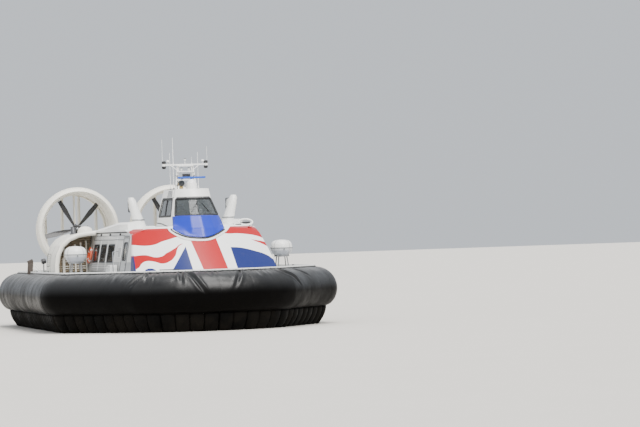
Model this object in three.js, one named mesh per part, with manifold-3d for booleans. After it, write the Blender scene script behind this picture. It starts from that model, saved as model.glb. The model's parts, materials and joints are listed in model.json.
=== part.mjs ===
import * as THREE from 'three';
import { mergeVertices } from 'three/addons/utils/BufferGeometryUtils.js';
import Module from 'manifold-3d';

// Frame: millimetres, Z up, bow towards -Y, starboard -X, origin on the ground amidships.

// Joint gap left between pieces that touch
const GAP = 0.3;

// The tables count y from the middle of the raft. This shift brings it to the middle of the overall length.
const CENTRING_Y = 326;

// Raft planform
const BOW_HALF_BEAM = 5500;
const STERN_HALF_BEAM = 4850;
const BOW_Y = -10950;
const BOW_ARC_RADIUS = 4244;
const BOW_ARC_END_X = 2760;
const BOW_ARC_END_Y = -9930;
const BOW_CORNER_Y = -6130;
const BOW_CORNER_RADIUS = 800;
const STERN_Y = 10300;
const STERN_CORNER_RADIUS = 2600;
const ARC_STEPS = 5;
const CORNER_STEPS = 4;

// Raft heights
const DECK_Z = 2450;
const HULL_CHINE_Z = 1900;
const HULL_BOTTOM_Z = 1450;
const HULL_BEVEL = 350;
const RIM_TOP_Z = 2530;
const RIM_INBOARD = 80;
const RIM_OUTBOARD = 35;

// Inflated bag: distance out from the hull edge and height along its outer face
const BAG_THICKNESS = 40;
const BAG_PROFILE = [
  { out: GAP, z: 2440 },
  { out: 260, z: 2405 },
  { out: 560, z: 2270 },
  { out: 800, z: 2030 },
  { out: 930, z: 1720 },
  { out: 945, z: 1400 },
  { out: 840, z: 1080 },
  { out: 640, z: 850 },
  { out: 400, z: 752 },
  { out: 60, z: 760 },
  { out: -380, z: 900 },
  { out: -720, z: 1160 },
  { out: -820, z: HULL_BOTTOM_Z - GAP },
];

// Finger skirt under the bag
const FINGER_PITCH = 560;
const FINGER_SAMPLES = 4;
const FINGER_BULGE = 90;
const FINGER_PROFILE = [
  { out: 400, z: 752 - GAP },
  { out: 400, z: 250 },
  { out: -40, z: 0 },
  { out: -150, z: 0 },
  { out: 320, z: 290 },
  { out: 320, z: 752 - GAP },
];

// Landing skids under the raft
const SKID_X = 2400;
const SKID_WIDTH = 320;
const SKID_FRONT_Y = -7200;
const SKID_REAR_Y = 8600;
const SKID_BOTTOM_Z = 1210;

// Cabin shell
const CABIN_BASE_Z = DECK_Z + GAP;
const EAVE_Z = 4180;
const CABIN_BASE_HALF = 3040;
const CABIN_LEAN = 0.19;
const CABIN_FRONT_BASE_Y = -8390;
const CABIN_FRONT_TOP_Y = -7280;
const CABIN_REAR_Y = 4200;
const WALL_THICKNESS = 60;
const BULKHEAD_THICKNESS = 60;
const ROOF_THICKNESS = 70;
const ROOF_HALF = 2790;
const ROOF_REAR_Y = 4330;
const ROOF_RAKE = 1.25;
const ROOF_TABLE = [
  { x: -ROOF_HALF, rise: 0 },
  { x: -2620, rise: 0 },
  { x: -1400, rise: 85 },
  { x: 0, rise: 115 },
  { x: 1400, rise: 85 },
  { x: 2620, rise: 0 },
  { x: ROOF_HALF, rise: 0 },
];

// Rounded front corners of the cabin: flats across each corner that fade out along the roof's edge
const CORNER_FADE = { x: 2790, y: -6300, z: 4261 };
const CORNER_FRONT_Y = -7280;
const CORNER_FLATS = [
  { innerX: 2330, innerZ: 4262, outerX: 2620, outerZ: 4150 },
  { innerX: 2620, innerZ: 4150, outerX: 2830, outerZ: 3960 },
];

// Cabin windows and door, along the wall
const WINDOW_LOW_Z = 2930;
const WINDOW_HIGH_Z = 3610;
const CABIN_WINDOWS = [
  { front: -4220, rear: -2900 },
  { front: -2480, rear: -1310 },
  { front: -900, rear: 260 },
];
const GLASS_THICKNESS = 12;
const DOOR_FRONT_Y = -7120;
const DOOR_REAR_Y = -6020;
const DOOR_LOW_Z = 2500;
const DOOR_HIGH_Z = 3950;
const DOOR_CLEARANCE = 8;
const DOOR_HEAD_CLEARANCE = 15;
const HINGE_INSET = 28;
const WINDOW_CUT_DEPTH = 300;
const DOOR_LIGHT_FRONT_Y = -6900;
const DOOR_LIGHT_REAR_Y = -6220;
const DOOR_LIGHT_LOW_Z = 2990;
const DOOR_LIGHT_HIGH_Z = 3700;

// Front cowl: one row per height, the nose on the centreline, the shoulder and the edge at the wall
const COWL_DEPTH = 100;
const COWL_TABLE = [
  { z: CABIN_BASE_Z, noseY: -10690, shoulderX: 3040, shoulderY: -9260, edgeX: 3040, edgeY: -8390 - GAP },
  { z: 3300, noseY: -9680, shoulderX: 2885, shoulderY: -8370, edgeX: 2878, edgeY: -7845 - GAP },
  { z: EAVE_Z - GAP, noseY: -8630, shoulderX: 2640, shoulderY: -7450, edgeX: 2711, edgeY: -7280 - GAP },
];

// Wheelhouse: one row per height
const WHEELHOUSE_WALL = 60;
const WHEELHOUSE_FLOOR_Z = 3690;
const WHEELHOUSE_WALL_Z = 3750;
const WHEELHOUSE_SILL_Z = 4750;
const WHEELHOUSE_HEAD_Z = 5520;
const WHEELHOUSE_TOP_Z = 5900;
const WHEELHOUSE_TABLE = [
  { z: WHEELHOUSE_FLOOR_Z, noseY: -9140, frontX: 1200, frontY: -8400, rearX: 1150, rearY: -4500 },
  { z: WHEELHOUSE_WALL_Z, noseY: -9105, frontX: 1190, frontY: -8360, rearX: 1145, rearY: -4500 },
  { z: 4200, noseY: -8840, frontX: 1110, frontY: -8060, rearX: 1090, rearY: -4530 },
  { z: WHEELHOUSE_SILL_Z, noseY: -8330, frontX: 965, frontY: -7660, rearX: 1000, rearY: -4640 },
  { z: WHEELHOUSE_HEAD_Z, noseY: -7640, frontX: 790, frontY: -7010, rearX: 860, rearY: -4840 },
  { z: WHEELHOUSE_TOP_Z, noseY: -7430, frontX: 705, frontY: -7020, rearX: 745, rearY: -4900 },
];
const WINDSHIELD = { lowZ: 4790, highZ: 5470, lowX: 890, highX: 725, frontY: -8800, rearY: -6850 };
const SIDE_LIGHT = {
  lowZ: 4800,
  highZ: 5460,
  lowFront: -7080,
  lowRear: -4860,
  highFront: -6760,
  highRear: -5120,
};
const GLASS_INSET = 22;
const HELM_FLOOR_Z = WHEELHOUSE_WALL_Z - GAP;
const HELM_SINK = 20;
const CONSOLE = { halfX: 620, frontY: -7800, rearY: -7450, topZ: 4560 };
const CONSOLE_TOP = { halfX: 640, frontY: -7900, rearY: -7300, lowZ: 4500, topZ: 4640 };
const HELM_SEAT_X = 420;
const HELM_SEAT_Y = -6700;
const ROOF_TRAY = 70;

// Passenger seats, rows on a plinth
const SEAT_ROWS = 9;
const SEAT_PITCH = 1050;
const SEAT_FIRST_Y = -5600;
const SEAT_INNER_X = 420;
const SEAT_OUTER_X = 2700;
const PLINTH_TOP_Z = 2550;
const SEAT_PAN_Z = 2900;
const SEAT_BACK_Z = 3520;

// Side machinery modules
const MODULE_FRONT_Y = 260;
const MODULE_MIDDLE_Y = 2630;
const MODULE_REAR_Y = 5000;
const MODULE_SKIN = 70;
const MODULE_MIDDLE_FLARE = 0.99;
const MODULE_REAR_FLARE = 0.76;
const MODULE_PROFILE = [
  { x: ROOF_HALF + GAP, z: 4190 },
  { x: 3180, z: 4170 },
  { x: 3590, z: 4110 },
  { x: 4010, z: 3940 },
  { x: 4330, z: 3660 },
  { x: 4515, z: 3270 },
  { x: 4590, z: 2850 },
  { x: 4600, z: CABIN_BASE_Z },
];
const LIP_RADIUS = 105;
const GRILLE_Y = 1300;
const GRILLE_FLARE = 0.985;
const GRILLE_CLEARANCE = 8;
const PANEL_THICKNESS = 60;
const ENGINE = { x: 3440, y: 2900, width: 640, length: 2000, height: 1000 };

// Ducted fans
const DUCT_X = 2220;
const DUCT_Z = 4400;
const DUCT_FRONT_Y = 7050;
const DUCT_SEGMENTS = 48;
const DUCT_PROFILE = [
  { radius: 1560, aft: 480 },
  { radius: 1578, aft: 270 },
  { radius: 1635, aft: 95 },
  { radius: 1735, aft: 0 },
  { radius: 1845, aft: 45 },
  { radius: 1905, aft: 170 },
  { radius: 1918, aft: 340 },
  { radius: 1880, aft: 720 },
  { radius: 1765, aft: 1270 },
  { radius: 1660, aft: 1720 },
  { radius: 1610, aft: 1750 },
  { radius: 1570, aft: 1150 },
];
const DUCT_LENGTH = 1750;
const DUCT_BORE = 1570;
const PROPELLER_Y = 7760;
const PROPELLER_RADIUS = 1520;
const PROPELLER_BLADES = 5;
const PROPELLER_PHASE = 42;
const HUB_RADIUS = 185;
const HUB_FRONT = 330;
const HUB_REAR = 170;
const BLADE_TABLE = [
  { radius: 150, chord: 150, twist: 62, thick: 80 },
  { radius: 520, chord: 250, twist: 44, thick: 44 },
  { radius: 1020, chord: 290, twist: 28, thick: 28 },
  { radius: PROPELLER_RADIUS, chord: 210, twist: 20, thick: 16 },
];
const NACELLE_RADIUS = 190;
const NACELLE_LENGTH = 700;
const VANE_ANGLES = [0, 180];
const VANE_THICKNESS = 45;
const VANE_CHORD = 330;

// Rudders behind each duct, carried by a ring with a flat boss at each pivot
const RUDDERS = [
  { offset: -1200, halfHeight: 815, bossZ: 900 },
  { offset: -400, halfHeight: 1440, bossZ: 1480 },
  { offset: 400, halfHeight: 1440, bossZ: 1480 },
  { offset: 1200, halfHeight: 815, bossZ: 900 },
];
const RUDDER_PIVOT_Y = 9010;
const RUDDER_CHORD = 640;
const RUDDER_LEAD = 150;
const RUDDER_THICKNESS = 80;
const STOCK_RADIUS = 28;
const RING_INNER = 1565;
const RING_OUTER = 1662;
const RING_LENGTH = 320;
const BOSS_HALF = 60;

// Rotating bow thrusters
const THRUSTER_X = 1960;
const THRUSTER_Y = -5150;
const THRUSTER_TABLE = [
  { z: 4210, shiftX: 0, halfX: 360, halfY: 380 },
  { z: 4420, shiftX: 0, halfX: 310, halfY: 330 },
  { z: 4600, shiftX: 0, halfX: 255, halfY: 275 },
];
const NOZZLE_TABLE = [
  { z: 4600 + GAP, shiftX: 0, shiftY: 0, halfX: 250, halfY: 270 },
  { z: 4900, shiftX: 90, shiftY: 0, halfX: 215, halfY: 250 },
  { z: 5250, shiftX: 190, shiftY: 15, halfX: 190, halfY: 240 },
  { z: 5500, shiftX: 255, shiftY: 45, halfX: 170, halfY: 225 },
  { z: 5620, shiftX: 280, shiftY: 70, halfX: 110, halfY: 150 },
];
const OUTLET = { shiftX: 175, z: 5250, halfX: 150, halfZ: 230, frontY: 60, rearY: 430 };

// Mast and roof gear
const DOME_X = 3150;
const DOME_Y = 750;
const DOME_BASE_Z = 4115;
const DOME_PROFILE = [
  { radius: 0, rise: 0 },
  { radius: 335, rise: 0 },
  { radius: 335, rise: 160 },
  { radius: 290, rise: 270 },
  { radius: 175, rise: 345 },
  { radius: 0, rise: 375 },
];
const GEARBOX_PROFILE = [
  { radius: 230, z: 6120 },
  { radius: 170, z: 6240 },
  { radius: 90, z: 6310 },
];

// Air trunk along each roof edge, feeding the bow thruster
const TRUNK_BASE_Z = 4200;
const TRUNK_CHAMFER = 90;
const TRUNK_TABLE = [
  { y: 200, innerX: 2330, outerX: 2775, top: 4310 },
  { y: -2400, innerX: 2290, outerX: 2770, top: 4450 },
  { y: -4600, innerX: 2180, outerX: 2740, top: 4575 },
  { y: -5450, innerX: 1860, outerX: 2480, top: 4580 },
];

const MAST_Y = -5880;
const MAST_FOOT_X = 420;
const MAST_HEAD_X = 300;
const MAST_TOP_Z = 6940;
const YARD_HALF = 990;
const YARD_LAMP_X = 910;
const LAMP_X = -430;
const LAMP_Y = -6850;
const SCANNER_Y = -6660;
const SCANNER_X = 60;
const SCANNER_Z = 6370;
const SCANNER_HALF = 600;
const WHIPS = [
  { x: -640, y: -6350, top: 8080 },
  { x: -560, y: -5350, top: 7480 },
  { x: 620, y: -5500, top: 7470 },
];

// Deck gear
const RAFT_X = 4530;
const RAFT_Y = -4150;
const RAFT_Z = 3270;
const RAFT_RADIUS = 400;

// Paint
const PAINT = {
  white: { color: 0xf2f2ee, roughness: 0.45, metalness: 0.0 },
  cream: { color: 0xe9e6dc, roughness: 0.5, metalness: 0.0 },
  grey: { color: 0xb4b5b4, roughness: 0.55, metalness: 0.1 },
  flag: { color: 0xe9565a, roughness: 0.4, metalness: 0.0 },
  blue: { color: 0x3d63cf, roughness: 0.35, metalness: 0.0 },
  hull: { color: 0x9fa3a5, roughness: 0.6, metalness: 0.4 },
  bag: { color: 0x232326, roughness: 0.6, metalness: 0.0 },
  finger: { color: 0x4c4741, roughness: 0.8, metalness: 0.0 },
  glass: { color: 0x39434a, roughness: 0.1, metalness: 0.0 },
  metal: { color: 0x6f7275, roughness: 0.45, metalness: 0.8 },
  dark: { color: 0x26272a, roughness: 0.6, metalness: 0.2 },
  seat: { color: 0x2c4a7c, roughness: 0.9, metalness: 0.0 },
};

const SIDES = [
  { name: 'starboard', sign: -1 },
  { name: 'port', sign: 1 },
];

const kernel = await Module();
kernel.setup();

// Closed body from rings of equal count, both ends capped
function loft(rings) {
  const count = rings[0].length;
  const index = [];
  for (let ring = 0; ring + 1 < rings.length; ring += 1) {
    for (let i = 0; i < count; i += 1) {
      const a = ring * count + i;
      const b = ring * count + ((i + 1) % count);
      index.push(a, b, a + count, b, b + count, a + count);
    }
  }
  capRing(rings[0], 0, true, index);
  capRing(rings[rings.length - 1], (rings.length - 1) * count, false, index);
  return closedGeometry(rings.flat(), index);
}

// Closed body from rings that run once round and meet again
function ringLoft(rings) {
  const count = rings[0].length;
  const total = rings.length;
  const index = [];
  for (let ring = 0; ring < total; ring += 1) {
    for (let i = 0; i < count; i += 1) {
      const next = (i + 1) % count;
      const a = ring * count + i;
      const b = ring * count + next;
      const c = ((ring + 1) % total) * count + i;
      const d = ((ring + 1) % total) * count + next;
      index.push(a, b, c, b, d, c);
    }
  }
  return closedGeometry(rings.flat(), index);
}

function capRing(ring, offset, reversed, index) {
  const normal = new THREE.Vector3();
  ring.forEach((p, i) => {
    const q = ring[(i + 1) % ring.length];
    normal.x += (p[1] - q[1]) * (p[2] + q[2]);
    normal.y += (p[2] - q[2]) * (p[0] + q[0]);
    normal.z += (p[0] - q[0]) * (p[1] + q[1]);
  });
  normal.normalize();
  const side = Math.abs(normal.z) < 0.9 ? new THREE.Vector3(0, 0, 1) : new THREE.Vector3(1, 0, 0);
  const u = new THREE.Vector3().crossVectors(side, normal).normalize();
  const v = new THREE.Vector3().crossVectors(normal, u);
  const flat = ring.map((p) => {
    const point = new THREE.Vector3(...p);
    return new THREE.Vector2(point.dot(u), point.dot(v));
  });
  for (const [a, b, c] of THREE.ShapeUtils.triangulateShape(flat, [])) {
    const first = flat[b].clone().sub(flat[a]);
    const area = first.cross(flat[c].clone().sub(flat[a]));
    const forward = area > 0 !== reversed;
    if (forward) {
      index.push(offset + a, offset + b, offset + c);
    } else {
      index.push(offset + a, offset + c, offset + b);
    }
  }
}

function outwardIndex(positions, index) {
  let volume = 0;
  const at = (i) => [positions[3 * i], positions[3 * i + 1], positions[3 * i + 2]];
  for (let i = 0; i < index.length; i += 3) {
    const [p, q, r] = [at(index[i]), at(index[i + 1]), at(index[i + 2])];
    volume += p[0] * (q[1] * r[2] - q[2] * r[1]) - p[1] * (q[0] * r[2] - q[2] * r[0]);
    volume += p[2] * (q[0] * r[1] - q[1] * r[0]);
  }
  return volume > 0 ? Array.from(index) : Array.from(index).reverse();
}

function closedGeometry(points, index) {
  const positions = points.flat();
  const geometry = new THREE.BufferGeometry();
  geometry.setAttribute('position', new THREE.Float32BufferAttribute(positions, 3));
  geometry.setIndex(outwardIndex(positions, index));
  return geometry;
}

function solid(geometry) {
  const clean = geometry.clone();
  clean.deleteAttribute('normal');
  clean.deleteAttribute('uv');
  const merged = mergeVertices(clean, 0.01);
  const positions = merged.attributes.position.array;
  const mesh = new kernel.Mesh({
    numProp: 3,
    vertProperties: new Float32Array(positions),
    triVerts: new Uint32Array(outwardIndex(positions, merged.index.array)),
  });
  return new kernel.Manifold(mesh);
}

function geometryOf(body) {
  const mesh = body.getMesh();
  const geometry = new THREE.BufferGeometry();
  geometry.setAttribute('position', new THREE.Float32BufferAttribute(mesh.vertProperties, 3));
  geometry.setIndex(Array.from(mesh.triVerts));
  return geometry;
}

function block(x0, x1, y0, y1, z0, z1) {
  const geometry = new THREE.BoxGeometry(Math.abs(x1 - x0), Math.abs(y1 - y0), Math.abs(z1 - z0));
  return geometry.translate((x0 + x1) / 2, (y0 + y1) / 2, (z0 + z1) / 2);
}

function rod(from, to, radius, segments, endRadius = radius) {
  const start = new THREE.Vector3(...from);
  const end = new THREE.Vector3(...to);
  const length = start.distanceTo(end);
  const geometry = new THREE.CylinderGeometry(endRadius, radius, length, segments);
  const direction = end.clone().sub(start).normalize();
  geometry.applyQuaternion(new THREE.Quaternion().setFromUnitVectors(new THREE.Vector3(0, 1, 0), direction));
  return geometry.translate((from[0] + to[0]) / 2, (from[1] + to[1]) / 2, (from[2] + to[2]) / 2);
}

function join(geometries) {
  let body = solid(geometries[0]);
  for (const geometry of geometries.slice(1)) {
    body = body.add(solid(geometry));
  }
  return body;
}

const model = new THREE.Group();
model.name = 'passenger_hovercraft';

function add(name, shape, paint) {
  const geometry = shape.isBufferGeometry ? shape : geometryOf(shape);
  geometry.deleteAttribute('normal');
  geometry.deleteAttribute('uv');
  geometry.translate(0, CENTRING_Y, 0);
  const merged = mergeVertices(geometry, 0.001);
  merged.computeVertexNormals();
  const mesh = new THREE.Mesh(merged, new THREE.MeshStandardMaterial(PAINT[paint]));
  mesh.name = name;
  mesh.material.name = paint;
  model.add(mesh);
}

// Planform outline: port half from the bow centre, then mirrored to a closed loop
function cornerArc(corner, before, after, radius, steps) {
  const into = new THREE.Vector2(before[0] - corner[0], before[1] - corner[1]).normalize();
  const away = new THREE.Vector2(after[0] - corner[0], after[1] - corner[1]).normalize();
  const half = Math.acos(into.dot(away)) / 2;
  const tangent = radius / Math.tan(half);
  const middle = into.clone().add(away).normalize().multiplyScalar(radius / Math.sin(half));
  const centre = [corner[0] + middle.x, corner[1] + middle.y];
  const start = Math.atan2(corner[1] + into.y * tangent - centre[1], corner[0] + into.x * tangent - centre[0]);
  const end = Math.atan2(corner[1] + away.y * tangent - centre[1], corner[0] + away.x * tangent - centre[0]);
  const points = [];
  for (let step = 0; step <= steps; step += 1) {
    const angle = start + ((end - start) * step) / steps;
    points.push([centre[0] + radius * Math.cos(angle), centre[1] + radius * Math.sin(angle)]);
  }
  return points;
}

function halfOutline() {
  const points = [];
  const sweep = Math.asin(BOW_ARC_END_X / BOW_ARC_RADIUS);
  for (let step = 0; step <= ARC_STEPS; step += 1) {
    const angle = (sweep * step) / ARC_STEPS;
    const x = BOW_ARC_RADIUS * Math.sin(angle);
    points.push([x, BOW_Y + BOW_ARC_RADIUS * (1 - Math.cos(angle))]);
  }
  const shoulder = [BOW_ARC_END_X, BOW_ARC_END_Y];
  const bowCorner = [BOW_HALF_BEAM, BOW_CORNER_Y];
  const sternCorner = [STERN_HALF_BEAM, STERN_Y];
  points.push(...cornerArc(bowCorner, shoulder, sternCorner, BOW_CORNER_RADIUS, CORNER_STEPS));
  points.push(...cornerArc(sternCorner, bowCorner, [0, STERN_Y], STERN_CORNER_RADIUS, CORNER_STEPS));
  points.push([0, STERN_Y]);
  return points;
}

function outline() {
  const port = halfOutline();
  const starboard = port.slice(1, -1).reverse().map(([x, y]) => [-x, y]);
  const loop = port.concat(starboard);
  return loop.map((point, i) => {
    const before = loop[(i + loop.length - 1) % loop.length];
    const after = loop[(i + 1) % loop.length];
    const first = new THREE.Vector2(point[0] - before[0], point[1] - before[1]).normalize();
    const second = new THREE.Vector2(after[0] - point[0], after[1] - point[1]).normalize();
    const normals = [new THREE.Vector2(first.y, -first.x), new THREE.Vector2(second.y, -second.x)];
    const mitre = normals[0].clone().add(normals[1]).divideScalar(1 + normals[0].dot(normals[1]));
    return { x: point[0], y: point[1], mx: mitre.x, my: mitre.y };
  });
}

const LOOP = outline();
const BOW_SPLIT = ARC_STEPS + 1 + CORNER_STEPS;
const STERN_SPLIT = BOW_SPLIT + 1;

function ringAt(station, profile) {
  return profile.map((p) => [station.x + station.mx * p.out, station.y + station.my * p.out, p.z]);
}

// Runs of stations for the bow, the two sides and the stern, a joint gap apart
function loopSlice(first, last) {
  const stations = [];
  for (let i = first; i <= last; i += 1) {
    stations.push({ ...LOOP[(i + LOOP.length) % LOOP.length] });
  }
  return stations;
}

function skirtRuns() {
  const bow = loopSlice(-BOW_SPLIT, BOW_SPLIT);
  const stern = loopSlice(STERN_SPLIT, LOOP.length - STERN_SPLIT);
  const side = (sign) => {
    const front = LOOP[sign > 0 ? BOW_SPLIT : LOOP.length - BOW_SPLIT];
    const rear = LOOP[sign > 0 ? STERN_SPLIT : LOOP.length - STERN_SPLIT];
    const length = Math.hypot(rear.x - front.x, rear.y - front.y);
    const [ax, ay] = [(rear.x - front.x) / length, (rear.y - front.y) / length];
    const at = (point, slide) => ({
      x: point.x + ax * slide,
      y: point.y + ay * slide,
      mx: sign * ay,
      my: -sign * ax,
    });
    return {
      ends: [at(front, GAP / 2), at(rear, -GAP / 2)],
      bowEnd: at(front, -GAP / 2),
      sternEnd: at(rear, GAP / 2),
    };
  };
  const [starboard, port] = [side(-1), side(1)];
  bow[0] = starboard.bowEnd;
  bow[bow.length - 1] = port.bowEnd;
  stern[0] = port.sternEnd;
  stern[stern.length - 1] = starboard.sternEnd;
  return { bow, starboard: starboard.ends, port: port.ends, stern };
}

function thickened(profile, thickness) {
  const inner = profile.map((p, i) => {
    const before = profile[Math.max(i - 1, 0)];
    const after = profile[Math.min(i + 1, profile.length - 1)];
    const along = new THREE.Vector2(after.out - before.out, after.z - before.z).normalize();
    return { out: p.out + along.y * thickness, z: p.z - along.x * thickness };
  });
  inner[0] = { out: profile[0].out, z: profile[0].z - thickness };
  const end = profile[profile.length - 1];
  inner[inner.length - 1] = { out: end.out + thickness, z: end.z };
  return profile.concat(inner.reverse());
}

function resampled(stations, pitch, samples) {
  const lengths = [0];
  for (let i = 1; i < stations.length; i += 1) {
    const step = Math.hypot(stations[i].x - stations[i - 1].x, stations[i].y - stations[i - 1].y);
    lengths.push(lengths[i - 1] + step);
  }
  const total = lengths[lengths.length - 1];
  const fingers = Math.round(total / pitch);
  const result = [];
  for (let k = 0; k <= fingers * samples; k += 1) {
    const distance = (total * k) / (fingers * samples);
    let i = 1;
    while (i < lengths.length - 1 && lengths[i] < distance) {
      i += 1;
    }
    const t = (distance - lengths[i - 1]) / (lengths[i] - lengths[i - 1]);
    const [a, b] = [stations[i - 1], stations[i]];
    const mix = (key) => a[key] + (b[key] - a[key]) * t;
    const bulge = Math.abs(Math.sin((Math.PI * k) / samples)) * FINGER_BULGE;
    result.push({ x: mix('x'), y: mix('y'), mx: mix('mx'), my: mix('my'), bulge });
  }
  return result;
}

function buildRaft() {
  const level = (out, z) => LOOP.map((s) => [s.x + s.mx * out, s.y + s.my * out, z]);
  const hull = loft([level(-HULL_BEVEL, HULL_BOTTOM_Z), level(0, HULL_CHINE_Z), level(0, DECK_Z)]);
  add('hull', hull, 'hull');
  const rimProfile = [
    { out: -RIM_INBOARD, z: DECK_Z + GAP },
    { out: RIM_OUTBOARD, z: DECK_Z + GAP },
    { out: RIM_OUTBOARD, z: RIM_TOP_Z },
    { out: -RIM_INBOARD, z: RIM_TOP_Z },
  ];
  add('deck_rim', ringLoft(LOOP.map((s) => ringAt(s, rimProfile))), 'white');
  const bagProfile = thickened(BAG_PROFILE, BAG_THICKNESS);
  for (const [name, stations] of Object.entries(skirtRuns())) {
    add(`skirt_bag_${name}`, loft(stations.map((s) => ringAt(s, bagProfile))), 'bag');
  }
  const around = resampled(LOOP.concat([LOOP[0]]), FINGER_PITCH, FINGER_SAMPLES).slice(0, -1);
  const fingerRings = around.map((s) =>
    FINGER_PROFILE.map((p) => [s.x + s.mx * (p.out + s.bulge), s.y + s.my * (p.out + s.bulge), p.z]),
  );
  add('skirt_fingers', ringLoft(fingerRings), 'finger');
  for (const { name, sign } of SIDES) {
    const x = sign * SKID_X;
    const half = SKID_WIDTH / 2;
    const skid = block(x - half, x + half, SKID_FRONT_Y, SKID_REAR_Y, SKID_BOTTOM_Z, HULL_BOTTOM_Z - GAP);
    add(`landing_skid_${name}`, skid, 'metal');
  }
}

// Leaning side wall: half width of the outer face at a height
function wallHalf(z) {
  return CABIN_BASE_HALF - CABIN_LEAN * (z - DECK_Z);
}

function leaningPanel(sign, corners, inset, thickness) {
  const face = (depth) => corners.map(([y, z]) => [sign * (wallHalf(z) - depth), y, z]);
  return loft([face(inset), face(inset + thickness)]);
}

function rectangle(front, rear, low, high) {
  return [[front, low], [rear, low], [rear, high], [front, high]];
}

function roundedCorners(body) {
  let result = body;
  for (const { sign } of SIDES) {
    for (const flat of CORNER_FLATS) {
      const inner = new THREE.Vector3(sign * flat.innerX, CORNER_FRONT_Y, flat.innerZ);
      const outer = new THREE.Vector3(sign * flat.outerX, CORNER_FRONT_Y, flat.outerZ);
      const fade = new THREE.Vector3(sign * CORNER_FADE.x, CORNER_FADE.y, CORNER_FADE.z);
      const inward = outer.sub(inner).cross(fade.sub(inner)).normalize();
      if (inward.z > 0) {
        inward.negate();
      }
      result = result.trimByPlane([inward.x, inward.y, inward.z], inward.dot(inner));
    }
  }
  return result;
}

function buildCabin() {
  const top = EAVE_Z - GAP;
  const wallCorners = [
    [CABIN_FRONT_BASE_Y, CABIN_BASE_Z],
    [CABIN_REAR_Y, CABIN_BASE_Z],
    [CABIN_REAR_Y, top],
    [CABIN_FRONT_TOP_Y, top],
  ];
  const cutDepth = WINDOW_CUT_DEPTH;
  for (const { name, sign } of SIDES) {
    let wall = solid(leaningPanel(sign, wallCorners, 0, WALL_THICKNESS));
    for (const pane of CABIN_WINDOWS) {
      const hole = rectangle(pane.front, pane.rear, WINDOW_LOW_Z, WINDOW_HIGH_Z);
      wall = wall.subtract(solid(leaningPanel(sign, hole, -cutDepth, cutDepth * 2)));
    }
    const doorway = rectangle(DOOR_FRONT_Y, DOOR_REAR_Y, DOOR_LOW_Z, DOOR_HIGH_Z);
    wall = wall.subtract(solid(leaningPanel(sign, doorway, -cutDepth, cutDepth * 2)));
    add(`cabin_wall_${name}`, roundedCorners(wall), 'grey');

    const gap = DOOR_CLEARANCE;
    const leafTop = DOOR_HIGH_Z - DOOR_HEAD_CLEARANCE;
    const leaf = rectangle(DOOR_FRONT_Y + gap, DOOR_REAR_Y - gap, DOOR_LOW_Z + gap, leafTop);
    const light = rectangle(DOOR_LIGHT_FRONT_Y, DOOR_LIGHT_REAR_Y, DOOR_LIGHT_LOW_Z, DOOR_LIGHT_HIGH_Z);
    const hingeY = DOOR_FRONT_Y + gap;
    const hinge = (z) => [sign * wallHalf(z), hingeY, z];
    const barrel = rod(hinge(DOOR_LOW_Z + HINGE_INSET), hinge(DOOR_HIGH_Z - HINGE_INSET), gap - GAP, 12);
    const door = solid(leaningPanel(sign, leaf, 0, WALL_THICKNESS - 15))
      .subtract(solid(leaningPanel(sign, light, -cutDepth, cutDepth * 2)))
      .add(solid(barrel));
    add(`cabin_door_${name}`, door, 'grey');
  }
  const inner = (z) => wallHalf(z) - WALL_THICKNESS - GAP;
  const bulkheadRing = (y) => [
    [-inner(CABIN_BASE_Z), y, CABIN_BASE_Z],
    [inner(CABIN_BASE_Z), y, CABIN_BASE_Z],
    [inner(top), y, top],
    [-inner(top), y, top],
  ];
  const bulkhead = loft([bulkheadRing(CABIN_REAR_Y - BULKHEAD_THICKNESS), bulkheadRing(CABIN_REAR_Y)]);
  add('cabin_rear_bulkhead', bulkhead, 'white');
}

// Plan curve across the front of the cowl at one row of its table
const COWL_STEPS = [-1, -0.8, -0.55, -0.28, 0, 0.28, 0.55, 0.8, 1];

function cowlRing(row, depth) {
  const y = (part) => row.noseY + (row.shoulderY - row.noseY) * part * part;
  const front = COWL_STEPS.map((part) => {
    const shrink = (row.shoulderX - depth) / row.shoulderX;
    return [part * row.shoulderX * shrink, y(part) + depth, row.z];
  });
  return [[-(row.edgeX - depth), row.edgeY, row.z], ...front, [row.edgeX - depth, row.edgeY, row.z]];
}

function cowlFrontY(x) {
  const row = COWL_TABLE[COWL_TABLE.length - 1];
  const part = Math.min(Math.abs(x) / row.shoulderX, 1);
  return row.noseY + (row.shoulderY - row.noseY) * part * part;
}

function wheelhouseRing(row, inset) {
  const steps = [-1, -0.75, -0.4, 0, 0.4, 0.75, 1];
  const frontX = row.frontX - inset;
  const front = steps.map((part) => {
    const y = row.noseY + (row.frontY - row.noseY) * part * part + inset;
    return [part * frontX, y, row.z];
  });
  const [rearX, rearY] = [row.rearX - inset, row.rearY - inset];
  return [[-rearX, rearY, row.z], ...front, [rearX, rearY, row.z]];
}

function wheelhouseAt(z) {
  const table = WHEELHOUSE_TABLE;
  let i = 1;
  while (i < table.length - 1 && table[i].z < z) {
    i += 1;
  }
  const [low, high] = [table[i - 1], table[i]];
  const t = (z - low.z) / (high.z - low.z);
  const row = { z };
  for (const key of ['noseY', 'frontX', 'frontY', 'rearX', 'rearY']) {
    row[key] = low[key] + (high[key] - low[key]) * t;
  }
  return row;
}

function wheelhouseBand(lowZ, highZ, inset) {
  const between = WHEELHOUSE_TABLE.map((row) => row.z).filter((z) => z > lowZ + 1 && z < highZ - 1);
  const heights = [lowZ, ...between, highZ];
  return loft(heights.map((z) => wheelhouseRing(wheelhouseAt(z), inset)));
}

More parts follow.
